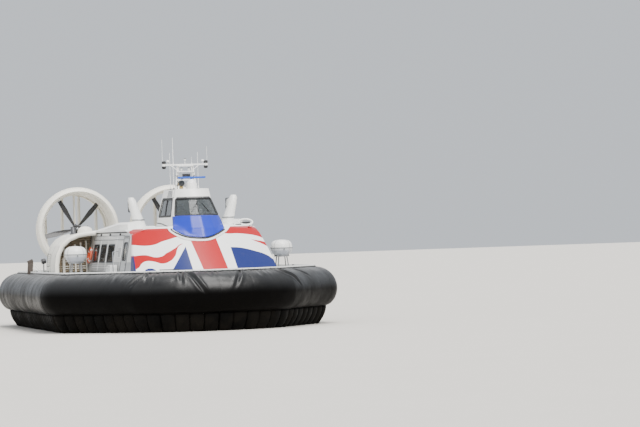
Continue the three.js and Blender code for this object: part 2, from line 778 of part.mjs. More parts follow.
function buildWheelhouse() {
  const envelope = solid(wheelhouseBand(WHEELHOUSE_FLOOR_Z, WHEELHOUSE_TOP_Z, -GAP));
  const outer = COWL_TABLE.map((row) => cowlRing(row, 0));
  const inner = COWL_TABLE.map((row) => cowlRing(row, COWL_DEPTH));
  const cowlRings = outer.map((ring, i) => ring.concat(inner[i].slice().reverse()));
  add('front_cowl', roundedCorners(solid(loft(cowlRings)).subtract(envelope)), 'flag');

  const roofRing = ({ x, rise }) => {
    const front = Math.abs(x) > 2600 ? COWL_TABLE[2].edgeY : cowlFrontY(x);
    const top = EAVE_Z + rise + ROOF_THICKNESS;
    return [
      [x, front, EAVE_Z],
      [x, ROOF_REAR_Y, EAVE_Z],
      [x, ROOF_REAR_Y, top],
      [x, front + (rise + ROOF_THICKNESS) * ROOF_RAKE, top],
    ];
  };
  const roof = roundedCorners(solid(loft(ROOF_TABLE.map(roofRing))).subtract(envelope));
  const top = roofTop();
  const fitted = roofFittings().reduce((body, fitting) => body.add(solid(fitting).subtract(top)), roof);
  add('cabin_roof', fitted, 'white');

  const shell = (low, high) =>
    solid(wheelhouseBand(low, high, 0)).subtract(solid(wheelhouseBand(low - 1, high + 1, WHEELHOUSE_WALL)));
  add('wheelhouse_lower_wall', shell(WHEELHOUSE_WALL_Z, WHEELHOUSE_SILL_Z - GAP), 'blue');

  const pane = (shrink) => {
    const w = WINDSHIELD;
    const ring = (y) => [
      [-(w.lowX - shrink), y, w.lowZ + shrink],
      [w.lowX - shrink, y, w.lowZ + shrink],
      [w.highX - shrink, y, w.highZ - shrink],
      [-(w.highX - shrink), y, w.highZ - shrink],
    ];
    return solid(loft([ring(w.frontY), ring(w.rearY)]));
  };
  const sideLight = (shrink, sign) => {
    const w = SIDE_LIGHT;
    const ring = (x) => [
      [sign * x, w.lowFront + shrink, w.lowZ + shrink],
      [sign * x, w.lowRear - shrink, w.lowZ + shrink],
      [sign * x, w.highRear - shrink, w.highZ - shrink],
      [sign * x, w.highFront + shrink, w.highZ - shrink],
    ];
    return solid(loft([ring(600), ring(1300)]));
  };
  const glassFace = wheelhouseBand(WHEELHOUSE_SILL_Z, WHEELHOUSE_HEAD_Z, GLASS_INSET);
  const glassBack = wheelhouseBand(WHEELHOUSE_SILL_Z - 1, WHEELHOUSE_HEAD_Z + 1, GLASS_INSET + GLASS_THICKNESS);
  const sheet = solid(glassFace).subtract(solid(glassBack));
  let upper = shell(WHEELHOUSE_SILL_Z, WHEELHOUSE_HEAD_Z - GAP).subtract(pane(0));
  add('windshield', sheet.intersect(pane(GAP)), 'glass');
  for (const { name, sign } of SIDES) {
    upper = upper.subtract(sideLight(0, sign));
    add(`wheelhouse_side_glass_${name}`, sheet.intersect(sideLight(GAP, sign)), 'glass');
  }
  add('wheelhouse_upper_wall', upper, 'white');
  const tray = solid(wheelhouseBand(WHEELHOUSE_HEAD_Z, WHEELHOUSE_TOP_Z, 0))
    .subtract(solid(wheelhouseBand(WHEELHOUSE_HEAD_Z - 1, WHEELHOUSE_TOP_Z - ROOF_TRAY, WHEELHOUSE_WALL)));
  const rooftop = wheelhouseFittings().reduce((body, fitting) => body.add(solid(fitting)), tray);
  add('wheelhouse_roof', rooftop, 'white');

  const sunk = HELM_FLOOR_Z - HELM_SINK;
  const [c, t] = [CONSOLE, CONSOLE_TOP];
  const helm = [
    wheelhouseBand(WHEELHOUSE_FLOOR_Z, HELM_FLOOR_Z, 0),
    block(-c.halfX, c.halfX, c.frontY, c.rearY, sunk, c.topZ),
    block(-t.halfX, t.halfX, t.frontY, t.rearY, t.lowZ, t.topZ),
  ];
  for (const { sign } of SIDES) {
    const x = sign * HELM_SEAT_X;
    const y = HELM_SEAT_Y;
    helm.push(block(x - 90, x + 90, y - 90, y + 90, sunk, 4250));
    helm.push(block(x - 240, x + 240, y - 250, y + 250, 4200, 4330));
    helm.push(block(x - 230, x + 230, y + 140, y + 260, 4280, 4980));
  }
  add('helm_deck', join(helm), 'grey');
}

function buildSeats() {
  const plinthFrontY = SEAT_FIRST_Y - 350;
  const plinthRearY = SEAT_FIRST_Y + SEAT_PITCH * (SEAT_ROWS - 1) + 450;
  for (const { name, sign } of SIDES) {
    const [inner, outer] = [sign * SEAT_INNER_X, sign * SEAT_OUTER_X];
    const pieces = [block(inner, outer, plinthFrontY, plinthRearY, CABIN_BASE_Z, PLINTH_TOP_Z)];
    for (let row = 0; row < SEAT_ROWS; row += 1) {
      const y = SEAT_FIRST_Y + row * SEAT_PITCH;
      pieces.push(block(inner, outer, y - 250, y + 280, PLINTH_TOP_Z - 10, SEAT_PAN_Z));
      pieces.push(block(inner, outer - sign * 60, y + 180, y + 290, SEAT_PAN_Z - 20, SEAT_BACK_Z));
    }
    add(`seat_rows_${name}`, join(pieces), 'seat');
  }
}

function moduleRing(y, scale, depth, sign) {
  const base = MODULE_PROFILE[0].x;
  const flare = (x) => base + (x - base) * scale;
  const last = MODULE_PROFILE.length - 1;
  const outer = MODULE_PROFILE.map((p) => [sign * flare(p.x), y, p.z]);
  const inner = MODULE_PROFILE.map((p, i) => {
    const before = MODULE_PROFILE[Math.max(i - 1, 0)];
    const after = MODULE_PROFILE[Math.min(i + 1, last)];
    const along = new THREE.Vector2(after.x - before.x, after.z - before.z).normalize();
    const shiftX = i === 0 ? 0 : along.y * depth;
    const shiftZ = i === last ? 0 : -along.x * depth;
    return [sign * (flare(p.x) + shiftX), y, p.z + shiftZ];
  });
  return { outer, inner };
}

function buildModules() {
  for (const { name, sign } of SIDES) {
    const ring = (y, scale) => {
      const { outer, inner } = moduleRing(y, scale, MODULE_SKIN, sign);
      return outer.concat(inner.reverse());
    };
    const shell = loft([
      ring(MODULE_FRONT_Y, 1),
      ring(MODULE_MIDDLE_Y, MODULE_MIDDLE_FLARE),
      ring(MODULE_REAR_Y, MODULE_REAR_FLARE),
    ]);

    const panel = (y, scale, depth) => {
      const rings = [y, y + PANEL_THICKNESS].map((at) => {
        const { inner } = moduleRing(at, scale, depth, sign);
        const topZ = MODULE_PROFILE[0].z - depth - GRILLE_CLEARANCE;
        const foot = [sign * (wallHalf(DECK_Z) + GAP), at, CABIN_BASE_Z];
        const head = [sign * (ROOF_HALF + GAP), at, topZ - MODULE_SKIN];
        return [...inner.slice(1), foot, head, [sign * (ROOF_HALF + GAP), at, topZ]];
      });
      return solid(loft(rings));
    };
    const grille = panel(GRILLE_Y, GRILLE_FLARE, MODULE_SKIN + GRILLE_CLEARANCE);
    add(`intake_grille_${name}`, grille, 'metal');

    const arch = MODULE_PROFILE.map((p) => new THREE.Vector2(sign * (p.x - 30), p.z - 20));
    const rings = arch.map((p, i) => {
      const before = arch[Math.max(i - 1, 0)];
      const after = arch[Math.min(i + 1, arch.length - 1)];
      const along = after.clone().sub(before).normalize();
      const z = i === arch.length - 1 ? CABIN_BASE_Z : p.y;
      return Array.from({ length: 10 }, (_, k) => {
        const angle = (k * Math.PI) / 5;
        const across = LIP_RADIUS * Math.cos(angle);
        const y = MODULE_FRONT_Y + 20 - LIP_RADIUS + LIP_RADIUS * Math.sin(angle);
        const dz = i === arch.length - 1 ? 0 : along.x * across;
        return [p.x - along.y * across, y, z + dz];
      });
    });
    const cover = [shell, loft(rings)].map((geometry) => solid(geometry));
    const closing = panel(MODULE_REAR_Y - PANEL_THICKNESS - 10, MODULE_REAR_FLARE, MODULE_SKIN / 2);
    const inboard = block(0, sign * (ROOF_HALF + GAP), 0, MODULE_REAR_Y + 100, 3800, 4600);
    const dome = new THREE.LatheGeometry(DOME_PROFILE.map((p) => new THREE.Vector2(p.radius, p.rise)), 20);
    dome.rotateX(Math.PI / 2);
    dome.translate(sign * DOME_X, DOME_Y, DOME_BASE_Z);
    const body = cover[0].add(cover[1]).add(closing).add(solid(dome)).subtract(solid(inboard));
    add(`machinery_cover_${name}`, body, 'cream');

    const e = ENGINE;
    const engine = new THREE.BoxGeometry(e.width, e.length, e.height);
    engine.translate(sign * e.x, e.y, CABIN_BASE_Z + e.height / 2);
    add(`engine_${name}`, engine, 'metal');
  }
}

function buildDucts() {
  for (const { name, sign } of SIDES) {
    const cx = sign * DUCT_X;
    const ductRings = (shrink) =>
      Array.from({ length: DUCT_SEGMENTS }, (_, k) => {
        const angle = (k * 2 * Math.PI) / DUCT_SEGMENTS;
        return DUCT_PROFILE.map((p) => [
          cx + (p.radius - shrink) * Math.cos(angle),
          DUCT_FRONT_Y + p.aft,
          DUCT_Z + (p.radius - shrink) * Math.sin(angle),
        ]);
      });
    const bore = new THREE.CylinderGeometry(DUCT_BORE + 60, DUCT_BORE + 60, DUCT_LENGTH + 400, DUCT_SEGMENTS);
    bore.translate(cx, DUCT_FRONT_Y + DUCT_LENGTH / 2, DUCT_Z);
    const saddleY = DUCT_FRONT_Y + 250;
    const saddleRing = (z, half) => [
      [cx - half, saddleY, z],
      [cx + half, saddleY, z],
      [cx + half, saddleY + 900, z],
      [cx - half, saddleY + 900, z],
    ];
    const saddle = solid(loft([saddleRing(CABIN_BASE_Z, 1250), saddleRing(2950, 1050)])).subtract(solid(bore));
    const duct = solid(ringLoft(ductRings(0))).add(saddle);
    add(`duct_${name}`, duct, 'cream');

    buildPropeller(name, cx);
    buildSupport(name, cx, solid(ringLoft(ductRings(GAP))));
    buildRudders(name, cx);
  }
}

function buildPropeller(name, cx) {
  const hub = [
    [0, -HUB_FRONT],
    [80, -HUB_FRONT + 30],
    [150, -HUB_FRONT + 130],
    [HUB_RADIUS, -60],
    [HUB_RADIUS, HUB_REAR],
    [0, HUB_REAR],
  ].map(([radius, y]) => new THREE.Vector2(radius, y));
  let body = solid(new THREE.LatheGeometry(hub, 20));
  for (let blade = 0; blade < PROPELLER_BLADES; blade += 1) {
    const turn = THREE.MathUtils.degToRad(PROPELLER_PHASE + (360 / PROPELLER_BLADES) * blade);
    const rings = BLADE_TABLE.map((row) => {
      const twist = THREE.MathUtils.degToRad(row.twist);
      const foil = [[-0.5, 0], [-0.25, 0.5], [0.15, 0.42], [0.5, 0], [0.15, -0.3], [-0.25, -0.35]];
      return foil.map(([along, across]) => {
        const u = along * row.chord;
        const v = across * row.thick;
        const x = u * Math.cos(twist) - v * Math.sin(twist);
        const y = u * Math.sin(twist) + v * Math.cos(twist);
        const [out, side] = [row.radius, x];
        return [
          side * Math.cos(turn) + out * Math.sin(turn),
          y,
          -side * Math.sin(turn) + out * Math.cos(turn),
        ];
      });
    });
    body = body.add(solid(loft(rings)));
  }
  const geometry = geometryOf(body);
  geometry.translate(cx, PROPELLER_Y, DUCT_Z);
  add(`propeller_${name}`, geometry, 'dark');
}

function buildSupport(name, cx, ringSpace) {
  const front = PROPELLER_Y + HUB_REAR + GAP;
  const tip = [cx, front + NACELLE_LENGTH, DUCT_Z];
  const nacelle = rod([cx, front, DUCT_Z], tip, NACELLE_RADIUS, 20, NACELLE_RADIUS * 0.6);
  let body = solid(nacelle);
  for (const angle of VANE_ANGLES) {
    const vane = new THREE.BoxGeometry(VANE_THICKNESS, VANE_CHORD, 1480);
    vane.translate(0, front + 60 + VANE_CHORD / 2, 100 + 740);
    vane.rotateY(THREE.MathUtils.degToRad(angle));
    vane.translate(cx, 0, DUCT_Z);
    body = body.add(solid(vane));
  }
  const reach = new THREE.CylinderGeometry(DUCT_BORE + 40, DUCT_BORE + 40, DUCT_LENGTH, DUCT_SEGMENTS);
  reach.translate(cx, DUCT_FRONT_Y + DUCT_LENGTH / 2, DUCT_Z);
  add(`hub_support_${name}`, body.intersect(solid(reach)).subtract(ringSpace), 'cream');
}

function buildRudders(name, cx) {
  const frontY = DUCT_FRONT_Y + DUCT_LENGTH + GAP;
  const rings = Array.from({ length: DUCT_SEGMENTS }, (_, k) => {
    const angle = (k * 2 * Math.PI) / DUCT_SEGMENTS;
    const at = (radius, y) => [cx + radius * Math.cos(angle), y, DUCT_Z + radius * Math.sin(angle)];
    const rearY = frontY + RING_LENGTH;
    return [at(RING_INNER, frontY), at(RING_OUTER, frontY), at(RING_OUTER, rearY), at(RING_INNER, rearY)];
  });
  let carrier = solid(ringLoft(rings));
  RUDDERS.forEach((rudder, i) => {
    const x = cx + rudder.offset;
    for (const side of [-1, 1]) {
      const root = Math.sqrt(RING_OUTER ** 2 - (Math.abs(rudder.offset) + BOSS_HALF) ** 2) - 20;
      const [z0, z1] = [DUCT_Z + side * rudder.bossZ, DUCT_Z + side * root];
      const [y0, y1] = [RUDDER_PIVOT_Y - BOSS_HALF, RUDDER_PIVOT_Y + BOSS_HALF];
      carrier = carrier.add(solid(block(x - BOSS_HALF, x + BOSS_HALF, y0, y1, z0, z1)));
    }
    const half = RUDDER_THICKNESS / 2;
    const y0 = RUDDER_PIVOT_Y - RUDDER_LEAD;
    const y1 = y0 + RUDDER_CHORD;
    const foil = (z) => [
      [x, y0, z],
      [x + half * 0.8, y0 + 50, z],
      [x + half, RUDDER_PIVOT_Y, z],
      [x + 5, y1, z],
      [x - 5, y1, z],
      [x - half, RUDDER_PIVOT_Y, z],
      [x - half * 0.8, y0 + 50, z],
    ];
    const blade = loft([foil(DUCT_Z - rudder.halfHeight), foil(DUCT_Z + rudder.halfHeight)]);
    const reach = rudder.bossZ - GAP;
    const stockEnd = (side) => [x, RUDDER_PIVOT_Y, DUCT_Z + side * reach];
    const stock = rod(stockEnd(-1), stockEnd(1), STOCK_RADIUS, 12);
    add(`rudder_${name}_${i + 1}`, join([blade, stock]), 'cream');
  });
  add(`rudder_ring_${name}`, carrier, 'cream');
}

function ovalRing(cx, cy, z, halfX, halfY, count) {
  return Array.from({ length: count }, (_, k) => {
    const angle = (k * 2 * Math.PI) / count;
    return [cx + halfX * Math.cos(angle), cy + halfY * Math.sin(angle), z];
  });
}

// Space below the middle of the roof sheet, where roof fittings are trimmed away
function roofTop() {
  const ring = ({ x, rise }) => [
    [x, -9000, EAVE_Z - 500],
    [x, 5000, EAVE_Z - 500],
    [x, 5000, EAVE_Z + rise + ROOF_THICKNESS / 2],
    [x, -9000, EAVE_Z + rise + ROOF_THICKNESS / 2],
  ];
  return solid(loft(ROOF_TABLE.map(ring)));
}

function roofFittings() {
  const fittings = [];
  for (const { sign } of SIDES) {
    const x = sign * THRUSTER_X;
    fittings.push(loft(THRUSTER_TABLE.map((r) => ovalRing(x, THRUSTER_Y, r.z, r.halfX, r.halfY, 16))));
    const trunkRing = ({ y, innerX, outerX, top }) => [
      [sign * innerX, y, TRUNK_BASE_Z],
      [sign * outerX, y, TRUNK_BASE_Z],
      [sign * outerX, y, top - TRUNK_CHAMFER],
      [sign * (outerX - TRUNK_CHAMFER), y, top],
      [sign * (innerX + TRUNK_CHAMFER), y, top],
      [sign * innerX, y, top - TRUNK_CHAMFER],
    ];
    fittings.push(loft(TRUNK_TABLE.map(trunkRing)));
  }
  return fittings;
}

function wheelhouseFittings() {
  const base = WHEELHOUSE_TOP_Z - 20;
  const last = GEARBOX_PROFILE[GEARBOX_PROFILE.length - 1];
  const foot = { radius: GEARBOX_PROFILE[0].radius, z: base };
  const turned = [{ radius: 0, z: base }, foot, ...GEARBOX_PROFILE, { radius: 0, z: last.z }];
  const pedestal = new THREE.LatheGeometry(turned.map((p) => new THREE.Vector2(p.radius, -p.z)), 18);
  pedestal.rotateX(-Math.PI / 2);
  pedestal.translate(SCANNER_X, SCANNER_Y, 0);
  const fittings = [pedestal];
  for (const whip of WHIPS) {
    const socket = rod([whip.x, whip.y, base], [whip.x, whip.y, base + 140], 30, 8);
    const reed = rod([whip.x, whip.y, base + 120], [whip.x, whip.y, whip.top], 14, 6, 8);
    fittings.push(geometryOf(join([socket, reed])));
  }
  return fittings;
}

function buildThrusters() {
  for (const { name, sign } of SIDES) {
    const x = sign * THRUSTER_X;
    const column = loft(
      NOZZLE_TABLE.map((r) => ovalRing(x + sign * r.shiftX, THRUSTER_Y + r.shiftY, r.z, r.halfX, r.halfY, 16)),
    );
    const o = OUTLET;
    const mouth = (y, grow) =>
      Array.from({ length: 14 }, (_, k) => {
        const angle = (k * Math.PI) / 7;
        const cx = x + sign * o.shiftX;
        const across = (o.halfX + grow) * Math.cos(angle);
        const up = (o.halfZ + grow) * Math.sin(angle);
        return [cx + across, THRUSTER_Y + y, o.z + up];
      });
    const horn = solid(loft([mouth(o.frontY, 0), mouth(o.rearY, 10)]));
    const bore = solid(loft([mouth(o.frontY + 40, -35), mouth(o.rearY + 10, -30)]));
    add(`bow_thruster_${name}`, solid(column).add(horn).subtract(bore), 'white');
  }
}

function buildMast() {
  const base = WHEELHOUSE_TOP_Z + GAP;
  const pieces = [];
  for (const side of [-1, 1]) {
    const foot = [side * MAST_FOOT_X, MAST_Y, base];
    const head = [side * MAST_HEAD_X, MAST_Y + 130, MAST_TOP_Z];
    const ring = (p, half) => [
      [p[0] - half, p[1] - half, p[2]],
      [p[0] + half, p[1] - half, p[2]],
      [p[0] + half, p[1] + half, p[2]],
      [p[0] - half, p[1] + half, p[2]],
    ];
    pieces.push(loft([ring(foot, 55), ring(head, 45)]));
    const lampX = side * YARD_LAMP_X;
    const lampY = MAST_Y + 120;
    pieces.push(rod([lampX, lampY, MAST_TOP_Z - 150], [lampX, lampY, MAST_TOP_Z + 170], 62, 10));
  }
  pieces.push(block(-390, 390, MAST_Y - 120, MAST_Y + 220, 6280, 6320));
  pieces.push(block(-360, 360, MAST_Y - 60, MAST_Y + 260, 6640, 6680));
  pieces.push(block(-350, 350, MAST_Y + 20, MAST_Y + 240, MAST_TOP_Z - 60, MAST_TOP_Z));
  pieces.push(block(-YARD_HALF, YARD_HALF, MAST_Y + 90, MAST_Y + 150, MAST_TOP_Z - 20, MAST_TOP_Z + 40));
  add('mast', join(pieces), 'white');

  const scanner = join([
    rod([SCANNER_X, SCANNER_Y, SCANNER_Z - 60 + GAP], [SCANNER_X, SCANNER_Y, SCANNER_Z + 20], 55, 14),
    new THREE.BoxGeometry(2 * SCANNER_HALF, 120, 80).translate(SCANNER_X, SCANNER_Y, SCANNER_Z + 10),
  ]);
  add('radar_scanner', scanner, 'blue');

  const lamp = join([
    rod([LAMP_X, LAMP_Y, base], [LAMP_X, LAMP_Y, 6060], 55, 12),
    rod([LAMP_X, LAMP_Y - 130, 6140], [LAMP_X, LAMP_Y + 110, 6140], 120, 16, 90),
  ]);
  add('searchlight', lamp, 'dark');
}

function buildLiferafts() {
  for (const { name, sign } of SIDES) {
    const x = sign * RAFT_X;
    const ball = (radius) => {
      const sphere = new THREE.SphereGeometry(radius, 24, 14);
      return sphere.rotateX(Math.PI / 2).translate(x, RAFT_Y, RAFT_Z);
    };
    const band = rod([x, RAFT_Y, RAFT_Z - 28], [x, RAFT_Y, RAFT_Z + 28], RAFT_RADIUS + 18, 24);
    add(`liferaft_${name}`, join([ball(RAFT_RADIUS), band]), 'white');
    const cradle = [rod([x, RAFT_Y, 2900], [x, RAFT_Y, 2985], 330, 20)];
    for (const angle of [45, 135, 225, 315]) {
      const turn = THREE.MathUtils.degToRad(angle);
      const foot = [x + 330 * Math.cos(turn), RAFT_Y + 330 * Math.sin(turn), DECK_Z];
      const head = [x + 250 * Math.cos(turn), RAFT_Y + 250 * Math.sin(turn), 2940];
      cradle.push(rod(foot, head, 26, 8));
    }
    const deck = block(x - 600, x + 600, RAFT_Y - 600, RAFT_Y + 600, DECK_Z - 200, CABIN_BASE_Z);
    const clear = join([ball(RAFT_RADIUS + GAP), deck]);
    add(`liferaft_cradle_${name}`, join(cradle).subtract(clear), 'metal');
  }
}

buildRaft();
buildCabin();
buildWheelhouse();
buildSeats();
buildModules();
buildDucts();
buildThrusters();
buildMast();
buildLiferafts();

export default model;
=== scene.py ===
"""Passenger hovercraft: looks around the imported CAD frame. Metres, Z up, bow towards -Y, starboard -X."""

import json
import math

import bmesh
import bpy
import numpy as np
from mathutils import Matrix, Vector
from mathutils.bvhtree import BVHTree


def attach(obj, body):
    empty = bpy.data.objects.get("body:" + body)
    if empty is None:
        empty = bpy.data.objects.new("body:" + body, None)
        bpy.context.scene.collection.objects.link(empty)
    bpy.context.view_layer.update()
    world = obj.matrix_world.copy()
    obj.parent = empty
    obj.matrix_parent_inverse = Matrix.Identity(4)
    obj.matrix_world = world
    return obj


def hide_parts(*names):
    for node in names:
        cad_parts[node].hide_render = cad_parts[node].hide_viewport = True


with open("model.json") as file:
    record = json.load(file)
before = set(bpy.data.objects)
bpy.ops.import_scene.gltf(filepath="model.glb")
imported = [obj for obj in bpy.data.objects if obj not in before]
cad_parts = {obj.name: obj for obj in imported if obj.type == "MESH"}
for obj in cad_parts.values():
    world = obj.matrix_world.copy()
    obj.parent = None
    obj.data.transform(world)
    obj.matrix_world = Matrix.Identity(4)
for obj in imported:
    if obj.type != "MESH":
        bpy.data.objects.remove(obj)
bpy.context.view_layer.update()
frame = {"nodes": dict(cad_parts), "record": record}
NODES = frame["nodes"]
SIDES = (("starboard", -1), ("port", 1))

# Camera, fitted to the photograph
CAMERA_PLACE = Vector((-30.006, -139.626, 3.956))
CAMERA_YAW = math.radians(-14.970)
CAMERA_PITCH = math.radians(0.306)
CAMERA_ROLL = math.radians(-1.830)
CAMERA_LENS = 181.87
SENSOR_WIDTH = 36.0

# Distance that the raft's middle lies behind the middle of the overall length
SHIFT = 0.326
DECK_TOP = 2.4506


def aim_camera():
    """Camera at the photograph's place, looking slightly up and across the bow."""
    level = Vector((math.cos(CAMERA_YAW), math.sin(CAMERA_YAW), 0.0))
    reach = math.cos(CAMERA_PITCH)
    ahead = Vector((-math.sin(CAMERA_YAW) * reach, math.cos(CAMERA_YAW) * reach, math.sin(CAMERA_PITCH)))
    upward = level.cross(ahead)
    right = level * math.cos(CAMERA_ROLL) + upward * math.sin(CAMERA_ROLL)
    up = upward * math.cos(CAMERA_ROLL) - level * math.sin(CAMERA_ROLL)
    data = bpy.data.cameras.new("camera")
    data.lens = CAMERA_LENS
    data.sensor_width = SENSOR_WIDTH
    data.clip_start = 1.0
    data.clip_end = 1200.0
    camera = bpy.data.objects.new("camera", data)
    bpy.context.collection.objects.link(camera)
    turn = Matrix((right, up, -ahead)).transposed().to_4x4()
    camera.matrix_world = Matrix.Translation(CAMERA_PLACE) @ turn
    bpy.context.scene.camera = camera


# Shader building


class Shader:
    """A node material under construction, around one principled shader."""

    def __init__(self, name):
        self.material = bpy.data.materials.new(name)
        self.material.use_nodes = True
        self.tree = self.material.node_tree
        self.tree.nodes.clear()
        self.output = self.node("ShaderNodeOutputMaterial")
        self.surface = self.node("ShaderNodeBsdfPrincipled")
        self.tree.links.new(self.surface.outputs[0], self.output.inputs[0])
        self.place = self.node("ShaderNodeTexCoord").outputs["Object"]
        split = self.node("ShaderNodeSeparateXYZ")
        self.tree.links.new(self.place, split.inputs[0])
        self.x, self.y, self.z = split.outputs

    def node(self, kind, **settings):
        made = self.tree.nodes.new(kind)
        for key, value in settings.items():
            setattr(made, key, value)
        return made

    def feed(self, socket, value):
        """Links or sets a socket."""
        if isinstance(value, bpy.types.NodeSocket):
            self.tree.links.new(value, socket)
        elif isinstance(value, (tuple, list)) and len(value) == 3 and socket.type == "RGBA":
            socket.default_value = (*value, 1.0)
        else:
            socket.default_value = value

    def put(self, **values):
        """Sets the principled shader's sockets; underscores stand for spaces."""
        for key, value in values.items():
            self.feed(self.surface.inputs[key.replace("_", " ")], value)
        return self

    def math(self, operation, first, second=0.0, third=0.0):
        made = self.node("ShaderNodeMath", operation=operation)
        for socket, value in zip(made.inputs, (first, second, third)):
            self.feed(socket, value)
        return made.outputs[0]

    def add(self, first, second):
        return self.math("ADD", first, second)

    def times(self, first, second):
        return self.math("MULTIPLY", first, second)

    def line(self, value, slope, start):
        """start + slope * value"""
        return self.math("MULTIPLY_ADD", value, slope, start)

    def remap(self, value, low, high, kind="SMOOTHSTEP"):
        """0 to 1 as value goes from low to high, held at both ends."""
        made = self.node("ShaderNodeMapRange", interpolation_type=kind)
        for socket, item in zip(made.inputs, (value, low, high)):
            self.feed(socket, item)
        return made.outputs[0]

    def over(self, value, edge, soft=0.006):
        """1 where value is above edge, with a soft step in metres."""
        return self.remap(self.math("SUBTRACT", value, edge), -soft, soft)

    def under(self, value, edge, soft=0.006):
        """1 where value is below edge."""
        return self.over(edge, value, soft)

    def fold(self, operation, masks):
        result, *rest = masks
        for mask in rest:
            result = self.math(operation, result, mask)
        return result

    def all_of(self, *masks):
        return self.fold("MULTIPLY", masks)

    def any_of(self, *masks):
        return self.fold("MAXIMUM", masks)

    def mix(self, factor, first, second, kind="MIX"):
        """A colour between two others."""
        made = self.node("ShaderNodeMix", data_type="RGBA", blend_type=kind)
        for index, item in zip((0, 6, 7), (factor, first, second)):
            self.feed(made.inputs[index], item)
        return made.outputs[2]

    def blend(self, factor, first, second):
        """A number between two others."""
        made = self.node("ShaderNodeMix", data_type="FLOAT")
        for index, item in zip((0, 2, 3), (factor, first, second)):
            self.feed(made.inputs[index], item)
        return made.outputs[0]

    def noise(self, scale, detail=3.0, rough=0.55, stretch=(1.0, 1.0, 1.0), swirl=0.0):
        mapping = self.node("ShaderNodeMapping")
        self.feed(mapping.inputs[0], self.place)
        mapping.inputs[3].default_value = stretch
        made = self.node("ShaderNodeTexNoise")
        self.feed(made.inputs["Vector"], mapping.outputs[0])
        sizes = {"Scale": scale, "Detail": detail, "Roughness": rough, "Distortion": swirl}
        for socket, value in sizes.items():
            made.inputs[socket].default_value = value
        return made.outputs[0]

    def wave(self, scale, direction="X"):
        made = self.node("ShaderNodeTexWave", bands_direction=direction)
        self.feed(made.inputs["Vector"], self.place)
        made.inputs["Scale"].default_value = scale
        return made.outputs["Fac"]

    def curve(self, value, points, low, high, floor, ceiling):
        """Height of a smooth line through (value, height) points, for a painted edge."""
        made = self.node("ShaderNodeFloatCurve")
        self.feed(made.inputs[1], self.remap(value, low, high, "LINEAR"))
        line = made.mapping.curves[0]
        places = [((a - low) / (high - low), (b - floor) / (ceiling - floor)) for a, b in points]
        while len(line.points) < len(places):
            line.points.new(0.5, 0.5)
        for knot, spot in zip(line.points, places):
            knot.location = spot
        made.mapping.extend = "HORIZONTAL"
        made.mapping.update()
        return self.line(made.outputs[0], ceiling - floor, floor)

    def normal(self, axis):
        """One component of the surface normal, in the part's own axes."""
        geometry = self.node("ShaderNodeNewGeometry")
        split = self.node("ShaderNodeSeparateXYZ")
        self.feed(split.inputs[0], geometry.outputs["Normal"])
        return split.outputs[axis]

    def bump(self, height, distance, strength=1.0):
        made = self.node("ShaderNodeBump")
        made.inputs["Strength"].default_value = strength
        made.inputs["Distance"].default_value = distance
        self.feed(made.inputs["Height"], height)
        before = self.surface.inputs["Normal"]
        if before.is_linked:
            self.feed(made.inputs["Normal"], before.links[0].from_socket)
        self.feed(before, made.outputs[0])
        return self


GRIME = (0.17, 0.145, 0.11)


def weathered(shader, colour, grime, rough, dents=0.003):
    """Paint with soft patches, rain streaks under edges, fine peel and a little unevenness of the sheet."""
    patches = shader.noise(0.55, 4.0, 0.6)
    streaks = shader.noise(1.0, 5.0, 0.65, stretch=(7.0, 7.0, 0.5))
    stain = shader.times(shader.remap(streaks, 0.5, 0.82), shader.remap(patches, 0.35, 0.7))
    upright = shader.math("SUBTRACT", 1.0, shader.math("ABSOLUTE", shader.normal(2)))
    stain = shader.times(stain, shader.line(upright, 0.7, 0.3))
    specks = shader.remap(shader.noise(38.0, 2.0), 0.62, 0.8)
    worn = shader.mix(shader.times(stain, grime), colour, GRIME)
    worn = shader.mix(shader.times(specks, grime * 0.16), worn, GRIME)
    tone = shader.mix(shader.remap(patches, 0.3, 0.75), (0.93, 0.93, 0.93), (1.0, 1.0, 1.0))
    shader.put(Base_Color=shader.mix(0.6, worn, tone, "MULTIPLY"))
    shader.put(Roughness=shader.blend(patches, rough - 0.07, rough + 0.12))
    shader.bump(shader.noise(1.3, 2.0), dents, 0.6)
    shader.bump(shader.noise(210.0, 2.0), 0.0004, 0.5)
    return shader


def paint(name, colour, grime, rough, coat=0.25):
    """Weathered paint under a clear coat."""
    shader = weathered(Shader(name), colour, grime, rough)
    shader.put(Coat_Weight=coat, Coat_Roughness=0.18)
    return shader.material


WHITE = (0.90, 0.90, 0.875)
CREAM = (0.84, 0.81, 0.72)
GREY = (0.50, 0.51, 0.51)
RED = (0.42, 0.0025, 0.006)
FLAG_BLUE = (0.004, 0.014, 0.125)
PANEL_BLUE = (0.002, 0.022, 0.40)


# Painted edges on the cowl and the blue panel, as (width, height) places
NOSE_BORDER = [
    (-1.6, 4.5), (-1.33, 4.2), (-1.11, 3.94), (-0.81, 3.775), (-0.42, 3.71), (0.05, 3.70), (0.46, 3.795),
    (1.05, 4.065), (1.3, 4.25), (1.6, 4.5),
]
PANEL_FOOT = [
    (-1.5, 4.6), (-1.17, 4.25), (-1.06, 4.13), (-0.77, 3.96), (-0.38, 3.88), (0.09, 3.86), (0.51, 3.95),
    (1.01, 4.19), (1.5, 4.6),
]
PORT_BLUE_TOP = [
    (-3.2, 3.4), (1.04, 3.40), (1.39, 3.38), (1.81, 3.30), (2.18, 3.20), (2.52, 3.10), (2.85, 2.93),
    (3.2, 2.45),
]
PORT_RED_FOOT = [
    (-3.2, 4.2), (0.70, 4.10), (0.90, 4.00), (1.06, 3.965), (1.52, 3.96), (1.96, 3.92), (2.41, 3.85),
    (2.75, 3.74), (3.2, 3.5),
]
STREAK_TOP = [(-3.2, 3.7), (2.05, 3.70), (2.37, 3.655), (2.74, 3.585), (3.2, 3.42)]
